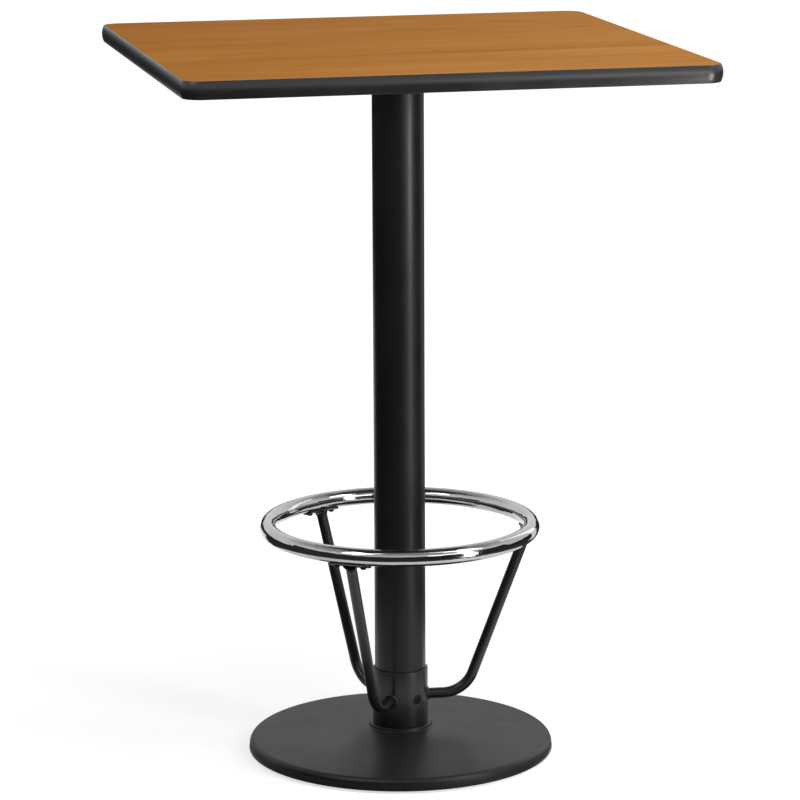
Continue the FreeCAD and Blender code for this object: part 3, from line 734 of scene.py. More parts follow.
class Form:
    """A piece's mesh in the making, in millimetres, shaped with mesh operators."""

    thread_depth = 0.61  # of the pitch
    thread_taper = 0.84  # a cut end's radius, as a share
    spare_turns = 1.5  # cut off at each end of a thread

    def __init__(self) -> None:
        """Start with nothing."""
        self.mesh = bmesh.new()

    def everything(self) -> list:
        """All vertices, edges and faces."""
        return [*self.mesh.verts, *self.mesh.edges, *self.mesh.faces]

    @staticmethod
    def only(kind: type, items: Iterable) -> list:
        """The items of one type: vertices, edges or faces."""
        return [item for item in items if isinstance(item, kind)]

    @staticmethod
    def edges_of(verts: Verts) -> list[bmesh.types.BMEdge]:
        """The edges that have both ends among some vertices."""
        chosen = set(verts)
        return list({edge for vert in verts for edge in vert.link_edges if chosen.issuperset(edge.verts)})

    def wire(self, points: Iterable[Point], closed: bool = True, rounds: dict[int, float] | None = None,
             steps: int = 8) -> Verts:
        """Draw a line in the XZ plane, of straight runs and arcs, and round some of its corners.

        Args:
            points: The (x, z) of each corner. A third number is the radius of an arc that leads to it,
                negative where the arc turns clockwise.
            closed: Whether the last corner joins the first.
            rounds: How far a corner's rounding reaches along its sides, by the corner's number.
            steps: How many edges an arc has.

        Returns:
            The line's vertices.
        """
        before = set(self.mesh.verts)
        made: Verts = []
        for x, z, *bend in points:
            spot = Vector((x, 0, z))
            if bend:
                made.append(self.arc(made[-1], spot, bend[0], steps))
                continue
            made.append(self.mesh.verts.new(spot))
            if len(made) > 1:
                self.mesh.edges.new(made[-2:])
        if closed:
            self.mesh.edges.new((made[-1], made[0]))
        for number, reach in (rounds or {}).items():
            self.round_off([made[number]], reach, ROUND_STEPS, "VERTICES")
        return [vert for vert in self.mesh.verts if vert not in before]

    def arc(self, start: bmesh.types.BMVert, end: Vector, bend: float, steps: int) -> bmesh.types.BMVert:
        """Draw an arc in the XZ plane.

        Args:
            start: The vertex where it starts.
            end: Where it ends.
            bend: Its radius, negative where it turns clockwise.
            steps: How many edges it has.

        Returns:
            The vertex where it ends.
        """
        half = (end - start.co) / 2
        rise = math.copysign(math.sqrt(bend ** 2 - half.length_squared), bend)
        center = start.co + half + Vector((-half.z, 0, half.x)).normalized() * rise
        turn = 2 * math.degrees(math.asin(half.length / bend))
        return self.spin([start], steps, turn, (0, -1, 0), center)[0]

    def circle(self, radius: float, sides: int, place: Matrix | None = None) -> Verts:
        """Add a circle of edges, which by itself lies in the XY plane."""
        return bmesh.ops.create_circle(
            self.mesh, radius=radius, segments=sides, matrix=place or Matrix())["verts"]

    def spin(self, verts: Verts, steps: int, degrees: float = FULL_TURN, axis: Point = (0, 0, 1),
             center: Point = (0, 0, 0), climb: float = 0.0) -> Verts:
        """Turn a wire about an axis, which leaves a surface behind it.

        Args:
            verts: The wire's vertices.
            steps: How many steps the turn takes.
            degrees: The turn.
            axis: The axis's direction.
            center: A point on the axis.
            climb: How far the wire moves along the axis meanwhile.

        Returns:
            The vertices of the wire where it ends.
        """
        closed = degrees == FULL_TURN and not climb
        spun = bmesh.ops.spin(self.mesh, geom=[*verts, *self.edges_of(verts)], cent=center, axis=axis,
                              dvec=Vector(axis) * climb / steps, angle=math.radians(degrees), steps=steps,
                              use_merge=closed)
        return self.only(bmesh.types.BMVert, spun["geom_last"])

    def run(self, verts: Verts, move: Point, swell: float = 1.0) -> Verts:
        """Extrude a wire along a straight line.

        Args:
            verts: The wire's vertices.
            move: How far it goes.
            swell: Its scale about its middle where it ends.

        Returns:
            The vertices of the wire where it ends.
        """
        pulled = bmesh.ops.extrude_edge_only(self.mesh, edges=self.edges_of(verts))["geom"]
        ends = self.only(bmesh.types.BMVert, pulled)
        bmesh.ops.translate(self.mesh, verts=ends, vec=move)
        middle = sum((vert.co for vert in ends), Vector()) / len(ends)
        bmesh.ops.scale(self.mesh, verts=ends, vec=(swell,) * 3, space=Matrix.Translation(-middle))
        return ends

    def cap(self, verts: Verts) -> None:
        """Close a ring of vertices with one face."""
        bmesh.ops.edgeloop_fill(self.mesh, edges=self.edges_of(verts))

    def lathe(self, points: Iterable[Point], steps: int, rounds: dict[int, float] | None = None,
              closed: bool = True) -> None:
        """Turn an outline of (radius, height) corners round the Z axis; an open one ends on the axis."""
        self.spin(self.wire(points, closed, rounds), steps)

    def thicken(self, verts: Verts, move: Point) -> None:
        """Fill a flat outline, but not the holes in it, and pull the filling out to a solid.

        Args:
            verts: The vertices of the outline and its holes.
            move: How far it is pulled.
        """
        filled = bmesh.ops.triangle_fill(self.mesh, use_beauty=True, edges=self.edges_of(verts))["geom"]
        faces = self.only(bmesh.types.BMFace, filled)
        pulled = bmesh.ops.extrude_face_region(self.mesh, geom=faces, use_keep_orig=True)["geom"]
        bmesh.ops.translate(self.mesh, verts=self.only(bmesh.types.BMVert, pulled), vec=move)

    def thread(self, radius: float, pitch: float, foot: float, top: float, steps: int = 32) -> None:
        """Make a screw thread along the Z axis: a zigzag turned into a helix, cut off square and tapered.

        Args:
            radius: The crest's radius.
            pitch: The rise of one turn.
            foot: Its lower end's height.
            top: Its upper end's height.
            steps: How many steps a turn takes.
        """
        depth = self.thread_depth * pitch
        start = foot - self.spare_turns * pitch
        halves = 2 * math.ceil((top - foot) / pitch + 2 * self.spare_turns)
        crests = [(radius - depth * ((half + 1) % 2), start + pitch * half / 2) for half in range(halves)]
        self.spin(self.wire(crests, closed=False), steps, climb=pitch)
        bmesh.ops.remove_doubles(self.mesh, verts=self.mesh.verts[:], dist=WELD)
        for level, side in ((foot, -1), (top, 1)):
            self.slice((0, 0, level), (0, 0, side))
            ends = [vert for vert in self.mesh.verts if abs(vert.co.z - level) < HAIR]
            bmesh.ops.scale(self.mesh, verts=ends, vec=(self.thread_taper, self.thread_taper, 1))

    def repeat(self, count: int) -> None:
        """Copy the whole form round the Z axis, until it is there a number of times."""
        bmesh.ops.spin(self.mesh, geom=self.everything(), cent=(0, 0, 0), axis=(0, 0, 1), steps=count - 1,
                       angle=math.radians(FULL_TURN) * (count - 1) / count, use_duplicate=True)

    def take(self, other: "Form") -> None:
        """Take in another form, which ends there.

        Args:
            other: The other form.
        """
        spare = other.to_mesh("spare")
        self.mesh.from_mesh(spare)
        bpy.data.meshes.remove(spare)

    def cut_away(self, cutter: "Form") -> None:
        """Take another form's solid out of this one; the other form ends there.

        Args:
            cutter: The other form.
        """
        objects = []
        for form in (self, cutter):
            form.close_up()
            objects.append(new_object("spare", form.to_mesh("spare")))
        cut = objects[0].modifiers.new("cut", "BOOLEAN")
        cut.object = objects[1]
        result = objects[0].evaluated_get(bpy.context.evaluated_depsgraph_get())
        self.mesh = bmesh.new()
        self.mesh.from_mesh(result.to_mesh())
        result.to_mesh_clear()
        for item in objects:
            bpy.data.meshes.remove(item.data)

    def slice(self, spot: Point, outward: Point) -> None:
        """Cut off what lies past a plane, and close the cut.

        Args:
            spot: A point on the plane.
            outward: The plane's direction, towards what is cut off.
        """
        cut = bmesh.ops.bisect_plane(self.mesh, geom=self.everything(), plane_co=spot, plane_no=outward,
                                     clear_outer=True)
        edges = [edge for edge in self.only(bmesh.types.BMEdge, cut["geom_cut"]) if edge.is_boundary]
        if edges:
            bmesh.ops.edgeloop_fill(self.mesh, edges=edges)

    def round_off(self, items: Sequence[bmesh.types.BMVert | bmesh.types.BMEdge], reach: float, segments: int,
                  affect: str = "EDGES", clamp: bool = False) -> None:
        """Bevel some edges, or some corners of a wire.

        Args:
            items: The edges, or the corners.
            reach: How far the rounding reaches.
            segments: How many steps it has; one makes a flat.
            affect: EDGES or VERTICES.
            clamp: Whether it stops where it would run into another.
        """
        bmesh.ops.bevel(self.mesh, geom=items, offset=reach, offset_type="OFFSET", segments=segments,
                        profile=0.5, affect=affect, clamp_overlap=clamp, material=-1)

    def soften(self, reach: float, segments: int = 2, sharp: float = 30.0) -> None:
        """Round every edge that is sharper than an angle in degrees.

        Args:
            reach: How far the rounding reaches.
            segments: How many steps it has.
            sharp: The angle.
        """
        limit = math.radians(sharp)
        edges = [edge for edge in self.mesh.edges if edge.is_manifold and edge.calc_face_angle() > limit]
        self.round_off(edges, reach, segments, clamp=True)

    def place(self, matrix: Matrix, verts: Verts | None = None) -> None:
        """Move some of the vertices, or all."""
        bmesh.ops.transform(self.mesh, matrix=matrix, verts=verts or self.mesh.verts[:])

    def close_up(self) -> None:
        """Merge the points that coincide, and turn all faces outwards."""
        bmesh.ops.remove_doubles(self.mesh, verts=self.mesh.verts[:], dist=WELD)
        bmesh.ops.recalc_face_normals(self.mesh, faces=self.mesh.faces[:])

    def to_mesh(self, name: str) -> bpy.types.Mesh:
        """Write the form to a mesh, which ends the form.

        Args:
            name: The mesh's name.

        Returns:
            The mesh.
        """
        mesh = bpy.data.meshes.new(name)
        self.mesh.to_mesh(mesh)
        self.mesh.free()
        return mesh

    def piece(self, name: str, body: Body, slot: Slot, *nodes: str, crease: float = 40.0) -> None:
        """Make the form a piece of the table, in metres.

        Args:
            name: The piece's name.
            body: The body that it rides on.
            slot: The slot whose finish it gets.
            *nodes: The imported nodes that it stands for.
            crease: Edges sharper than this, in degrees, look sharp.
        """
        self.close_up()
        bmesh.ops.scale(self.mesh, verts=self.mesh.verts[:], vec=(MM,) * 3)
        mesh = self.to_mesh(name)
        mesh.shade_smooth()
        mesh.set_sharp_from_angle(angle=math.radians(crease))
        mesh.materials.append(Paints.material(slot, body))
        piece = new_object(name, mesh)
        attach(piece, body.value)
        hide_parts(*nodes)
        log.info("%s: %d faces", name, len(mesh.polygons))


# ---------------------------------------------------------------- table top


@dataclass(frozen=True)
class TableTop:
    """The laminate sheet on top, and the vinyl band round the edge."""

    top: float = 1066.8
    thickness: float = 25.4
    half: float = 377.0
    corner: float = 26.0
    sheet: float = 0.8
    sheet_edge: float = 0.3
    web: float = 0.8
    crown: float = 3.2
    tongue: float = 9.0
    tongue_half: float = 1.2
    barbs: int = 3
    barb: float = 0.15
    barb_pitch: float = 2.2
    lip: float = 0.45
    lip_steps: int = 3
    joint_gap: float = 0.25
    corner_steps: int = 16
    crown_steps: int = 14

    def build(self) -> None:
        """Build the laminate and the band."""
        self.build_laminate()
        self.build_band()

    def build_laminate(self) -> None:
        """The laminate: a thin sheet with round corners, its upper edge filed back."""
        form = Form()
        size = Matrix.Diagonal((2 * self.half, 2 * self.half, self.sheet, 1))
        middle = self.top - self.sheet / 2
        bmesh.ops.create_cube(form.mesh, size=1, matrix=moved(z=middle) @ size)
        upright = [edge for edge in form.mesh.edges
                   if abs(edge.verts[0].co.z - edge.verts[1].co.z) > self.sheet / 2]
        form.round_off(upright, self.corner, self.corner_steps)
        rim = [edge for edge in form.mesh.edges if all(vert.co.z > middle for vert in edge.verts)]
        form.round_off(rim, self.sheet_edge, 1)
        form.piece("laminate_sheet", Body.TABLE, Slot.WOOD_LAMINATE, "top_laminate", crease=25)

    def build_band(self) -> None:
        """The band: a crowned strip with a barbed tongue, run round the edge to a butt joint at the rear."""
        form = Form()
        verts = self.band_section(form)
        inner = self.half - self.corner
        side, last = 2 * inner, inner - self.joint_gap / 2
        form.place(moved(x=-self.joint_gap / 2) @ turned(90), verts)
        form.cap(verts)
        verts = form.run(verts, (-last, 0, 0))
        lengths = [(0, -side, 0), (side, 0, 0), (0, side, 0), (-last, 0, 0)]
        centers = [(-inner, inner, 0), (-inner, -inner, 0), (inner, -inner, 0), (inner, inner, 0)]
        for center, length in zip(centers, lengths):
            verts = form.spin(verts, self.corner_steps, 90, center=center)
            verts = form.run(verts, length)
        form.cap(verts)
        form.piece("edge_moulding", Body.TABLE, Slot.EDGE_VINYL, "edge_band", crease=30)

    def band_section(self, form: Form) -> Verts:
        """Add the band's section, as it stands on the right-hand side.

        Args:
            form: The form that gets it.

        Returns:
            The section's vertices.
        """
        floor, face, root, half = self.top - self.thickness, self.half + self.web, self.half, self.tongue_half
        middle = self.top - self.thickness / 2
        bend = (self.thickness ** 2 / 4 + self.crown ** 2) / (2 * self.crown)
        lean = math.degrees(math.asin(self.thickness / 2 / bend))
        foot = form.wire([(face, floor)], closed=False)
        crown = form.spin(foot, self.crown_steps, 2 * lean, (0, -1, 0), (face + self.crown - bend, 0, middle))
        barbs = [(root - self.barb_pitch * number, half + self.barb * (-1) ** number)
                 for number in range(1, self.barbs + 1)]
        upper = [(root, self.thickness / 2), (root, half), *barbs, (root - self.tongue, half / 2)]
        back = [form.mesh.verts.new((x, 0, middle + up)) for x, up in upper]
        back += [form.mesh.verts.new((x, 0, middle - up)) for x, up in reversed(upper)]
        loop = [*crown, *back, *foot]
        for pair in zip(loop, loop[1:]):
            form.mesh.edges.new(pair)
        for vert in (*crown, *foot):
            form.round_off([vert], self.lip, self.lip_steps, "VERTICES")
        return form.mesh.verts[:]


# ---------------------------------------------------------------- spider


@dataclass(frozen=True)
class Spider:
    """The casting under the top: a socket for the column, and four ribbed arms with screw holes."""

    turn: float = 45.0
    arms: int = 4
    underside: float = 1041.4
    recess_floor: float = 1023.4
    recess: float = 22.0
    column_top: float = 1015.4
    foot: float = 997.4
    socket: float = 38.2
    socket_edge: float = 0.6
    hub: float = 46.2
    rod_hole: float = 6.5
    edge: float = 1.2
    reach: float = 270.0
    half_width: float = 19.0
    tip: float = 14.0
    root: float = 26.0
    thickness: float = 6.0
    holes: Span = (130.0, 240.0)
    hole: float = 2.7
    hole_steps: int = 24
    rib: float = 5.0
    rib_place: float = 16.1
    rib_root: float = 42.2
    rib_end: float = 250.0
    rib_depths: Span = (32.0, 11.0)
    steps: int = 96

    def build(self) -> None:
        """Build the casting."""
        form = Form()
        section = [(self.rod_hole, self.recess_floor), (self.recess, self.recess_floor),
                   (self.recess, self.underside), (self.hub, self.underside), (self.hub, self.foot),
                   (self.socket, self.foot), (self.socket, self.column_top), (self.rod_hole, self.column_top)]
        form.lathe(section, self.steps, {3: self.socket_edge, 4: self.edge, 5: self.socket_edge})
        arm = Form()
        self.add_plate(arm)
        self.add_ribs(arm)
        arm.soften(self.edge)
        arm.repeat(self.arms)
        form.take(arm)
        form.place(turned(self.turn))
        form.piece("spider_casting", Body.TABLE, Slot.BLACK_CASTING, "top_spider")

    def add_plate(self, arm: Form) -> None:
        """Add an arm's plate, with a round end and its screw holes.

        Args:
            arm: The form that gets it.
        """
        near, far, half, flat = self.root, self.reach - self.tip, self.half_width, self.half_width - self.tip
        plan = arm.wire([(near, -half), (far, -half), (self.reach, -flat, self.tip), (self.reach, flat),
                         (far, half, self.tip), (near, half)])
        arm.place(turned(-90, "X"), plan)
        for spot in self.holes:
            plan += arm.circle(self.hole, self.hole_steps, moved(spot))
        arm.place(moved(z=self.underside - self.thickness), plan)
        arm.thicken(plan, (0, 0, self.thickness))

    def add_ribs(self, arm: Form) -> None:
        """Add the two tapering ribs under an arm's long edges.

        Args:
            arm: The form that gets them.
        """
        inside = self.underside - self.thickness / 2
        root, tip = (self.underside - depth for depth in self.rib_depths)
        for side in (-1, 1):
            face = arm.wire([(self.rib_root, inside), (self.rib_root, root), (self.rib_end, tip),
                             (self.rib_end, inside)])
            arm.place(moved(y=side * self.rib_place - self.rib / 2), face)
            arm.thicken(face, (0, self.rib, 0))


# ---------------------------------------------------------------- column and tie rod


@dataclass(frozen=True)
class TieRod:
    """The rod inside the column that pulls spider and base together, threaded at both ends."""

    radius: float = 6.0
    shank: float = 5.3
    foot: float = 7.2
    top: float = 1038.7
    thread: float = 40.0
    overlap: float = 1.0
    pitch: float = 1.75
    steps: int = 32

    def build(self) -> None:
        """Build the rod."""
        form = Form()
        foot, top = self.foot + self.thread, self.top - self.thread
        low, high = foot - self.overlap, top + self.overlap
        form.lathe([(0, low), (self.shank, low), (self.shank, high), (0, high)], self.steps, closed=False)
        for start, end in ((self.foot, foot), (top, self.top)):
            thread = Form()
            thread.thread(self.radius, self.pitch, start, end)
            form.take(thread)
        form.piece("tie_rod_threaded", Body.TABLE, Slot.ZINC_STEEL, "tie_rod")


@dataclass(frozen=True)
class Column:
    """The round steel tube."""

    radius: float = 38.1
    wall: float = 2.0
    foot: float = 34.0
    top: float = 1015.4
    steps: int = 128
    edge: float = 0.4

    def build(self) -> None:
        """Build the tube, its ends deburred."""
        form = Form()
        inner = self.radius - self.wall
        section = [(inner, self.foot), (self.radius, self.foot), (self.radius, self.top), (inner, self.top)]
        form.lathe(section, self.steps, dict.fromkeys(range(len(section)), self.edge))
        form.piece("column_tube", Body.TABLE, Slot.BLACK_POWDER_COAT, "column")


# ---------------------------------------------------------------- base


@dataclass(frozen=True)
class Base:
    """The cast disc: domed, with a hub for the column, and hollow, with ribs and a boss for each glide."""

    turn: float = 45.0
    radius: float = 228.6
    lift: float = 4.0
    foot_edge: float = 0.8
    rim_draft: float = 0.8
    rim_top: float = 12.0
    rim_inner: float = 219.6
    rim_ceiling: Point = (215.1, 15.8)
    shoulder: Point = (218.3, 21.8)
    shoulder_bend: float = 10.5
    dome_bend: float = 1900.0
    shell: float = 6.0
    hub: float = 47.0
    hub_foot: float = 37.0
    hub_top: float = 42.0
    hub_round: float = 2.0
    fillet: float = 2.8
    socket: float = 38.2
    socket_edge: float = 0.5
    socket_floor: float = 34.0
    rod_hole: float = 6.5
    web_floor: float = 24.0
    boss: Point = (52.0, 31.0)
    ribs: int = 8
    rib: float = 5.0
    rib_floor: float = 10.0
    rib_line: tuple[Point, ...] = ((222.0, 13.0), (214.0, 19.3), (51.0, 35.0))
    rib_edge: float = 1.2
    bosses: int = 4
    glide_circle: float = 188.0
    glide_boss: float = 14.0
    glide_floor: float = 6.3
    glide_top: float = 22.5
    bore: float = 4.05
    bore_top: float = 19.3
    countersink: float = 0.9
    boss_steps: int = 48
    arc_steps: int = 12
    steps: int = 192

    def build(self) -> None:
        """Build the casting."""
        form = Form()
        form.spin(form.wire(self.section(), steps=self.arc_steps), self.steps)
        form.take(self.rib_star())
        form.take(self.glide_bosses())
        form.place(turned(self.turn))
        form.piece("base_dish", Body.TABLE, Slot.BLACK_CASTING, "base_casting")

    def section(self) -> list[Point]:
        """The dish's outline, from the rod's hole over the hub and the dome, and back underneath.

        Returns:
            Its corners, as Form.wire takes them.
        """
        hub, edge, rim, inner, socket = self.hub, self.foot_edge, self.radius, self.rim_inner, self.socket
        return [
            (self.rod_hole, self.socket_floor), (socket, self.socket_floor),
            (socket, self.hub_top - self.socket_edge), (socket + self.socket_edge, self.hub_top),
            (hub - self.hub_round, self.hub_top), (hub, self.hub_top - self.hub_round, -self.hub_round),
            (hub, self.hub_foot + self.fillet), (hub + self.fillet, self.hub_foot, self.fillet),
            (*self.shoulder, -self.dome_bend), (rim - self.rim_draft, self.rim_top, -self.shoulder_bend),
            (rim, self.lift + edge), (rim - edge, self.lift, -edge), (inner + edge, self.lift),
            (inner, self.lift + edge, -edge), (inner, self.rim_top - self.rim_draft), self.rim_ceiling,
            (*self.boss, self.dome_bend - self.shell), (self.boss[0], self.web_floor + edge),
            (self.boss[0] - edge, self.web_floor, -edge), (self.rod_hole, self.web_floor),
        ]

    def rib_star(self) -> Form:
        """The ribs that run from the middle to the rim underneath.

        Returns:
            A form with all of them.
        """
        form = Form()
        (rim, _), *_, (middle, _) = self.rib_line
        side = form.wire([(middle, self.rib_floor), (rim, self.rib_floor), *self.rib_line])
        form.place(moved(y=-self.rib / 2), side)
        form.thicken(side, (0, self.rib, 0))
        form.soften(self.rib_edge)
        form.repeat(self.ribs)
        return form

    def glide_bosses(self) -> Form:
        """The tapped bosses underneath that take the glides.

        Returns:
            A form with all of them.
        """
        form = Form()
        bore, sink, floor, edge = self.bore, self.countersink, self.glide_floor, self.rib_edge
        form.lathe([(0, self.bore_top), (bore, self.bore_top), (bore, floor + sink), (bore + sink, floor),
                    (self.glide_boss - edge, floor), (self.glide_boss, floor + edge, edge),
                    (self.glide_boss, self.glide_top), (0, self.glide_top)], self.boss_steps, closed=False)
        form.place(moved(self.glide_circle))
        form.repeat(self.bosses)
        return form


@dataclass(frozen=True)
class Glides:
    """The levelling glides: a nylon foot on a threaded stem, under each boss of the base."""

    count: int = 4
    turn: float = 45.0
    circle: float = 188.0
    pad: float = 14.0
    height: float = 6.0
    rounding: float = 1.5
    dimple: float = 8.0
    dimple_depth: float = 0.5
    grip_depth: float = 0.6
    seat: float = 3.0
    stem: float = 4.0
    stem_gap: float = 0.05
    stem_top: float = 18.3
    pitch: float = 1.25
    steps: int = 64

    def build(self) -> None:
        """Build each glide's foot and stem."""
        for number in range(1, self.count + 1):
            body = Body[f"GLIDE_{number}"]
            place = turned(self.turn + FULL_TURN * (number - 1) / self.count) @ moved(self.circle)
            foot = Form()
            foot.lathe(self.section(), self.steps, closed=False)
            foot.place(place)
            foot.piece(f"glide_foot_{number}", body, Slot.NYLON, f"glide_pad_{number}")
            stem = Form()
            stem.thread(self.stem, self.pitch, self.seat, self.stem_top)
            stem.place(place)
            stem.piece(f"glide_thread_{number}", body, Slot.ZINC_STEEL, f"glide_stem_{number}")

    def section(self) -> list[Point]:
        """A foot's outline.

        Returns:
            Its corners, from the middle of its sole round to the floor of its seat.
        """
        pad, rounding, bore, groove = self.pad, self.rounding, self.stem + self.stem_gap, self.height / 2
        return [
            (0, self.dimple_depth), (self.dimple - self.dimple_depth, self.dimple_depth), (self.dimple, 0),
            (pad - rounding, 0), (pad, rounding, rounding), (pad, groove - self.grip_depth),
            (pad - self.grip_depth, groove), (pad, groove + self.grip_depth), (pad, self.height - rounding),
            (pad - rounding, self.height, rounding), (bore, self.height), (bore, self.seat), (0, self.seat),
        ]


# ---------------------------------------------------------------- foot rest


class Leg(Enum):
    """The foot rest's legs, by the angle of each about the column, in degrees."""

    RIGHT = -4.4
    REAR = 115.6
    FRONT = 235.6


@dataclass(frozen=True)
class FootRest:
    """The chromed ring, the collar, and the bent rods and curved saddles that carry the ring."""

    ring_radius: float = 196.3
    ring_height: float = 345.5
    tube: float = 12.7
    ring_steps: int = 192
    tube_sides: int = 48
    rod: float = 8.0
    rod_sides: int = 32
    collar: float = 41.4
    sunk: float = 1.5
    sleeve_wall: float = 3.0
    sleeve_foot: float = 42.4
    sleeve_top: float = 127.4
    sleeve_rounds: tuple[float, float, float] = (0.6, 1.5, 0.4)
    sleeve_steps: int = 144
    grub_hole: float = 7.05
    grub_mouth: float = 1.2
    drill_past: Span = (2.0, 1.0)
    drill_steps: int = 48
    run_height: float = 83.0
    corner: float = 99.0
    bend: float = 48.0
    bend_steps: int = 24
    head_inset: float = 2.0
    neck_length: float = 9.0
    neck_flare: float = 3.6
    neck_steps: int = 6
    saddle_gap: float = 0.05
    saddle_thickness: float = 3.0
    saddle_width: float = 21.0
    saddle_length: float = 64.0
    saddle_spare: float = 2.0
    saddle_edge: float = 0.5
    saddle_steps: int = 20
    cradle_steps: int = 12
    end_cuts: int = 9
    bead: float = 1.7
    bead_sides: int = 10
    bead_place: float = 9.3
    bead_scales: int = 13
    scale_steps: int = 6
    scale_low: float = 0.82
    scale_swell: float = 0.3

    def build(self) -> None:
        """Build the ring and the collar, and each leg with its saddle."""
        self.build_ring()
        self.build_collar()
        for leg in Leg:
            self.build_leg(leg)
            self.build_saddle(leg)

    def build_ring(self) -> None:
        """The ring: round tube bent to a full circle."""
        form = Form()
        place = moved(self.ring_radius, 0, self.ring_height) @ turned(90, "X")
        form.spin(form.circle(self.tube, self.tube_sides, place), self.ring_steps)
        form.piece("foot_ring_tube", Body.FOOT_REST, Slot.CHROME, "foot_ring")

    def build_collar(self) -> None:
        """The collar: a sleeve with rounded ends, bored and countersunk for the grub screws."""
        form = Form()
        inner, outer, foot, top = (
            self.collar - self.sleeve_wall, self.collar, self.sleeve_foot, self.sleeve_top)
        form.lathe([(inner, foot), (outer, foot), (outer, top), (inner, top)], self.sleeve_steps,
                   dict(enumerate(self.sleeve_rounds, start=1)))
        drill = Form()
        hole, mouth = self.grub_hole, outer - self.grub_mouth
        start, end = inner - self.drill_past[0], outer + self.drill_past[1]
        drill.lathe([(0, start), (hole, start), (hole, mouth), (hole + end - mouth, end), (0, end)],
                    self.drill_steps, closed=False)
        drill.place(moved(z=self.run_height) @ turned(90, "Y"))
        drill.repeat(len(Leg))
        drill.place(turned(Leg.RIGHT.value + FULL_TURN / 2 / len(Leg)))
        form.cut_away(drill)
        form.piece("collar_sleeve", Body.FOOT_REST, Slot.BLACK_POWDER_COAT, "collar", crease=30)

    def build_leg(self, leg: Leg) -> None:
        """A leg: a level run out of the collar, a bend, and a lean up to the saddle, with its welds.

        Args:
            leg: Which leg.
        """
        form = Form()
        run = self.ring_radius - self.head_inset - self.corner
        climb = self.ring_height - self.tube - self.run_height
        slope = math.hypot(run, climb)
        along = Vector((run / slope, 0, climb / slope))
        tangent = self.bend * along.z / (1 + along.x)
        start, end = self.collar - self.sunk, self.corner - tangent
        ring = form.circle(self.rod, self.rod_sides, moved(start, 0, self.run_height) @ turned(90, "Y"))
        form.cap(ring)
        ring = form.run(ring, (end - start, 0, 0))
        center = (end, 0, self.run_height + self.bend)
        ring = form.spin(ring, self.bend_steps, math.degrees(math.atan2(climb, run)), (0, -1, 0), center)
        ring = form.run(ring, along * (slope - tangent - self.sunk - self.neck_length))
        radius = self.rod
        for step in range(1, self.neck_steps + 1):
            wider = self.rod + self.neck_flare * (step / self.neck_steps) ** 2
            ring = form.run(ring, along * (self.neck_length / self.neck_steps), wider / radius)
            radius = wider
        form.cap(ring)
        self.add_bead(form)
        form.place(turned(leg.value))
        name = leg.name.lower()
        form.piece(f"leg_{name}", Body.FOOT_REST, Slot.BLACK_POWDER_COAT, f"strut_{name}")

    def add_bead(self, form: Form) -> None:
        """Add the weld bead round a leg's foot, laid in overlapping scales on the collar's curve.

        Args:
            form: The leg's form.
        """
        bead = Form()
        place = moved(self.collar, 0, self.run_height + self.bead_place) @ turned(90, "X")
        ring = bead.circle(self.bead, self.bead_sides, place)
        bead.spin(ring, self.bead_scales * self.scale_steps, axis=(1, 0, 0), center=(0, 0, self.run_height))
        for vert in bead.mesh.verts:
            spoke = Vector((0, vert.co.y, vert.co.z - self.run_height))
            share = math.atan2(spoke.y, spoke.z) * self.bead_scales / math.tau % 1
            core = spoke.normalized() * self.bead_place + Vector((self.collar, 0, self.run_height))
            vert.co = core + (vert.co - core) * (self.scale_low + self.scale_swell * math.sqrt(share))
            vert.co.x -= self.collar - math.sqrt(self.collar ** 2 - vert.co.y ** 2)
        form.take(bead)

    def build_saddle(self, leg: Leg) -> None:
        """A saddle: a plate bent to cradle the ring from below, with round ends.

        Args:
            leg: The leg that carries it.
        """
        form = Form()
        inner = self.tube + self.saddle_gap
        outer = inner + self.saddle_thickness
        lean = math.asin(self.saddle_width / 2 / outer)
        span = math.degrees((self.saddle_length + self.saddle_spare) / self.ring_radius)
        center = (self.ring_radius, 0, self.ring_height)
        arcs = []
        for radius in (inner, outer):
            spot = Vector((-math.sin(lean), 0, -math.cos(lean))) * radius
            vert = form.wire([(self.ring_radius + spot.x, self.ring_height + spot.z)], closed=False)
            turn = 2 * math.degrees(lean)
            arcs.append((vert, form.spin(vert, self.cradle_steps, turn, (0, -1, 0), center)))
        for near, far in zip(*arcs):
            form.mesh.edges.new((near[0], far[0]))
        section = form.mesh.verts[:]
        form.place(turned(-span / 2), section)
        form.cap(section)
        form.cap(form.spin(section, self.saddle_steps, span))
        self.round_ends(form)
        form.soften(self.saddle_edge)
        form.place(turned(leg.value))
        name = leg.name.lower()
        form.piece(f"saddle_plate_{name}", Body.FOOT_REST, Slot.BLACK_POWDER_COAT, f"saddle_{name}")

    def round_ends(self, form: Form) -> None:
        """Cut a saddle's ends round, by a fan of upright planes.

        Args:
            form: The saddle's form.
        """
        half = self.saddle_width / 2
        for side in (-1, 1):
            turn = (self.saddle_length / 2 - half) / self.ring_radius * side
            middle = Vector((math.cos(turn), math.sin(turn), 0)) * self.ring_radius
            for cut in range(1, self.end_cuts):
                angle = turn + side * math.pi * cut / self.end_cuts
                outward = Vector((math.cos(angle), math.sin(angle), 0))
                form.slice(middle + outward * half, outward)


# ---------------------------------------------------------------- surroundings


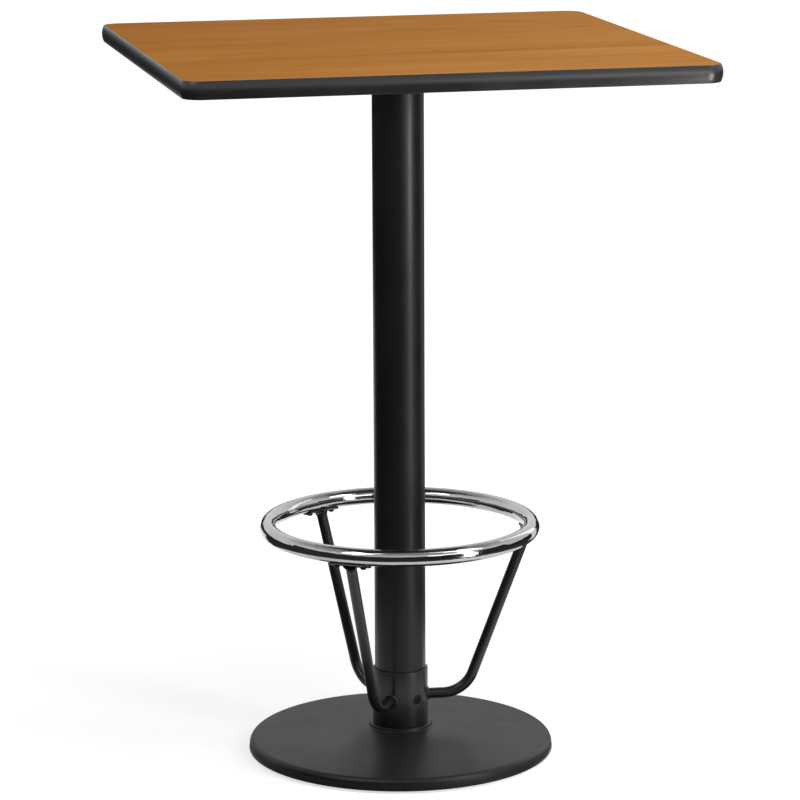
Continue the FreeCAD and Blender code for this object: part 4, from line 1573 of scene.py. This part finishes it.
@dataclass(frozen=True)
class Camera:
    """The camera's place about the column, its turn and its lens."""

    distance: float = 5.282
    height: float = 1.657
    azimuth: float = -12.884
    heading: float = -0.015
    pitch: float = 11.973
    roll: float = -0.25
    focal_pixels: float = 3641.7
    frame_pixels: float = 800.0
    sensor: float = 36.0
    far_end: float = 100.0

    def build(self) -> None:
        """Add the camera and make it the scene's own."""
        data = bpy.data.cameras.new("camera")
        data.sensor_width = self.sensor
        data.lens = self.focal_pixels * self.sensor / self.frame_pixels
        data.clip_end = self.far_end
        camera = new_object("camera", data)
        spot = turned(self.azimuth) @ Vector((0, -self.distance, self.height))
        aim = turned(self.azimuth + self.heading) @ turned(90 - self.pitch, "X") @ turned(self.roll)
        camera.matrix_world = Matrix.Translation(spot) @ aim
        bpy.context.scene.camera = camera


@dataclass(frozen=True)
class Lamp:
    """A soft rectangular lamp that stands about the table and points at its axis."""

    name: str
    azimuth: float
    elevation: float
    distance: float
    width: float
    height: float
    power: float
    aim: float

    def build(self) -> None:
        """Add the lamp."""
        data = bpy.data.lights.new(self.name, "AREA")
        data.shape = "RECTANGLE"
        data.size = self.width
        data.size_y = self.height
        data.energy = self.power
        lamp = new_object(self.name, data)
        back = turned(self.azimuth) @ turned(-self.elevation, "X") @ Vector((0, -1, 0))
        lamp.location = Vector((0, 0, self.aim)) + back * self.distance
        lamp.rotation_euler = back.to_track_quat("Z", "Y").to_euler()
        lamp.visible_camera = False


LAMPS = (
    Lamp("key_left", azimuth=-58.0, elevation=57.0, distance=3.2, width=1.1, height=2.2, power=29.0, aim=0.4),
    Lamp("key_right", azimuth=58.0, elevation=57.0, distance=3.2, width=1.1, height=2.2, power=29.0, aim=0.4),
    Lamp("strip", azimuth=40.0, elevation=0.0, distance=1.1, width=0.19, height=1.02, power=9.4, aim=0.52),
    Lamp("low_strip", azimuth=40.0, elevation=0.0, distance=0.9, width=0.17, height=0.66, power=1.6,
         aim=0.33),
    Lamp("rim", azimuth=118.0, elevation=0.0, distance=0.9, width=0.2, height=1.25, power=0.8, aim=0.65),
    Lamp("fill", azimuth=26.0, elevation=4.0, distance=2.0, width=1.1, height=0.55, power=5.2, aim=1.1),
)


@dataclass(frozen=True)
class DarkTray:
    """A black card round the table, seen only in reflections, so that metal has something dark to mirror."""

    # Painted shadow: a dark ring on the floor round the base's foot, seen only in reflections, where the
    # floor next to the base lies in shade.
    painted_contact_shadow: Span = (0.236, 0.27)
    inner: float = 0.6
    outer: float = 7.0
    rim: float = 1.3
    gap_reach: float = 4.0
    gap: float = 60.0
    flag: float = 0.95
    flag_top: float = 0.7
    flag_start: float = -193.0
    lift: float = 0.002
    steps: int = 64
    shade: float = 0.06

    def build(self) -> None:
        """Add the card: on the floor with a gap behind and a low rim far out, a ring of painted contact
        shadow round the base, and a flag in front.
        """
        form, lift = Form(), self.lift
        form.spin(
            form.wire([(self.gap_reach, lift), (self.outer, lift), (self.outer, self.rim)], closed=False),
            self.steps)
        floor = form.wire([(self.inner, lift), (self.gap_reach, lift)], closed=False)
        form.place(turned(90 + self.gap / 2), floor)
        form.spin(floor, self.steps, FULL_TURN - self.gap)
        # The ring of painted contact shadow round the base's foot.
        form.spin(form.wire([(radius, lift) for radius in self.painted_contact_shadow], closed=False), self.steps)
        flag = form.wire([(self.flag, lift), (self.flag, self.flag_top)], closed=False)
        form.place(turned(self.flag_start), flag)
        form.spin(flag, self.steps // 2, FULL_TURN / 2)
        material, graph, shader = new_material("dark_card")
        graph.set(shader, {"Base Color": (*(self.shade,) * 3, 1), "Roughness": 1.0,
                           "Specular IOR Level": 0.0})
        card = new_object("dark_tray", form.to_mesh("dark_tray"))
        card.data.materials.append(material)
        card.visible_camera = card.visible_diffuse = card.visible_transmission = card.visible_shadow = False


@dataclass(frozen=True)
class Studio:
    """A plain pale floor under an even sky; both look white to the camera, to mirrors and through glass."""

    floor_side: float = 60.0
    floor_color: Color = (0.42, 0.42, 0.42)
    near: Span = (0.4, 1.6)
    glow: Span = (0.66, 0.9)
    sky_light: float = 0.42
    overhead: Span = (0.55, 0.8)
    ceiling: float = 0.55

    @staticmethod
    def seen(graph: Graph) -> bpy.types.NodeSocket:
        """1 for what the camera sees, straight or in a mirror or through glass, and 0 for the rest."""
        path = graph.add("ShaderNodeLightPath").outputs
        return graph.join("MAXIMUM", (
            path["Is Camera Ray"], path["Is Glossy Ray"], path["Is Transmission Ray"]))

    def build(self) -> None:
        """Add the sky, the floor, the card, the lamps and the camera."""
        bpy.context.scene.view_settings.view_transform = "Standard"
        self.build_sky()
        self.build_floor()
        for item in (DarkTray(), *LAMPS, Camera()):
            item.build()

    def build_sky(self) -> None:
        """Set the world: white where it is seen, softer as a light, and greyer overhead in mirrors."""
        world = bpy.data.worlds.new("sky")
        world.use_nodes = True
        bpy.context.scene.world = world
        graph = Graph(world.node_tree)
        strength = graph.remap(self.seen(graph), (0.0, 1.0), (self.sky_light, 1.0))
        upward = graph.split(graph.add("ShaderNodeTexCoord").outputs["Generated"])["Z"]
        overhead = graph.remap(upward, self.overhead, (0.0, self.ceiling))
        mirrored = graph.add("ShaderNodeLightPath").outputs["Is Glossy Ray"]
        dimmed = graph.math("SUBTRACT", 1.0, graph.math("MULTIPLY", overhead, mirrored))
        strength = graph.math("MULTIPLY", strength, dimmed)
        graph.set(graph.own("BACKGROUND"), {"Color": (*WHITE, 1), "Strength": strength})

    def build_floor(self) -> None:
        """Add the floor: matt, with a glow that camera and mirrors see, so that only shadows darken it."""
        form = Form()
        bmesh.ops.create_grid(form.mesh, x_segments=1, y_segments=1, size=self.floor_side / 2)
        material, graph, shader = new_material("floor")
        away = graph.remap(graph.length(graph.place()), self.near, self.glow)
        graph.set(shader, {"Base Color": (*self.floor_color, 1), "Roughness": 1.0, "Specular IOR Level": 0.0,
                           "Emission Color": (*WHITE, 1),
                           "Emission Strength": graph.math("MULTIPLY", self.seen(graph), away)})
        floor = new_object("floor", form.to_mesh("floor"))
        floor.data.materials.append(material)


def main() -> None:
    """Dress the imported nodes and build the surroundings."""
    logging.basicConfig(level=logging.INFO, format="%(name)s: %(message)s")
    for build_effect in (build_peel, build_handling, build_tone, build_hairlines, build_dust):
        build_effect()
    Paints.mix(FINISHES)
    for assembly in (TableTop(), Spider(), TieRod(), Column(), Base(), Glides(), FootRest()):
        assembly.build()
        log.info("%s built", type(assembly).__name__)
    for name in frame["nodes"]:
        Paints.dress_node(name)
    Studio().build()


if __name__ == "__main__":
    main()
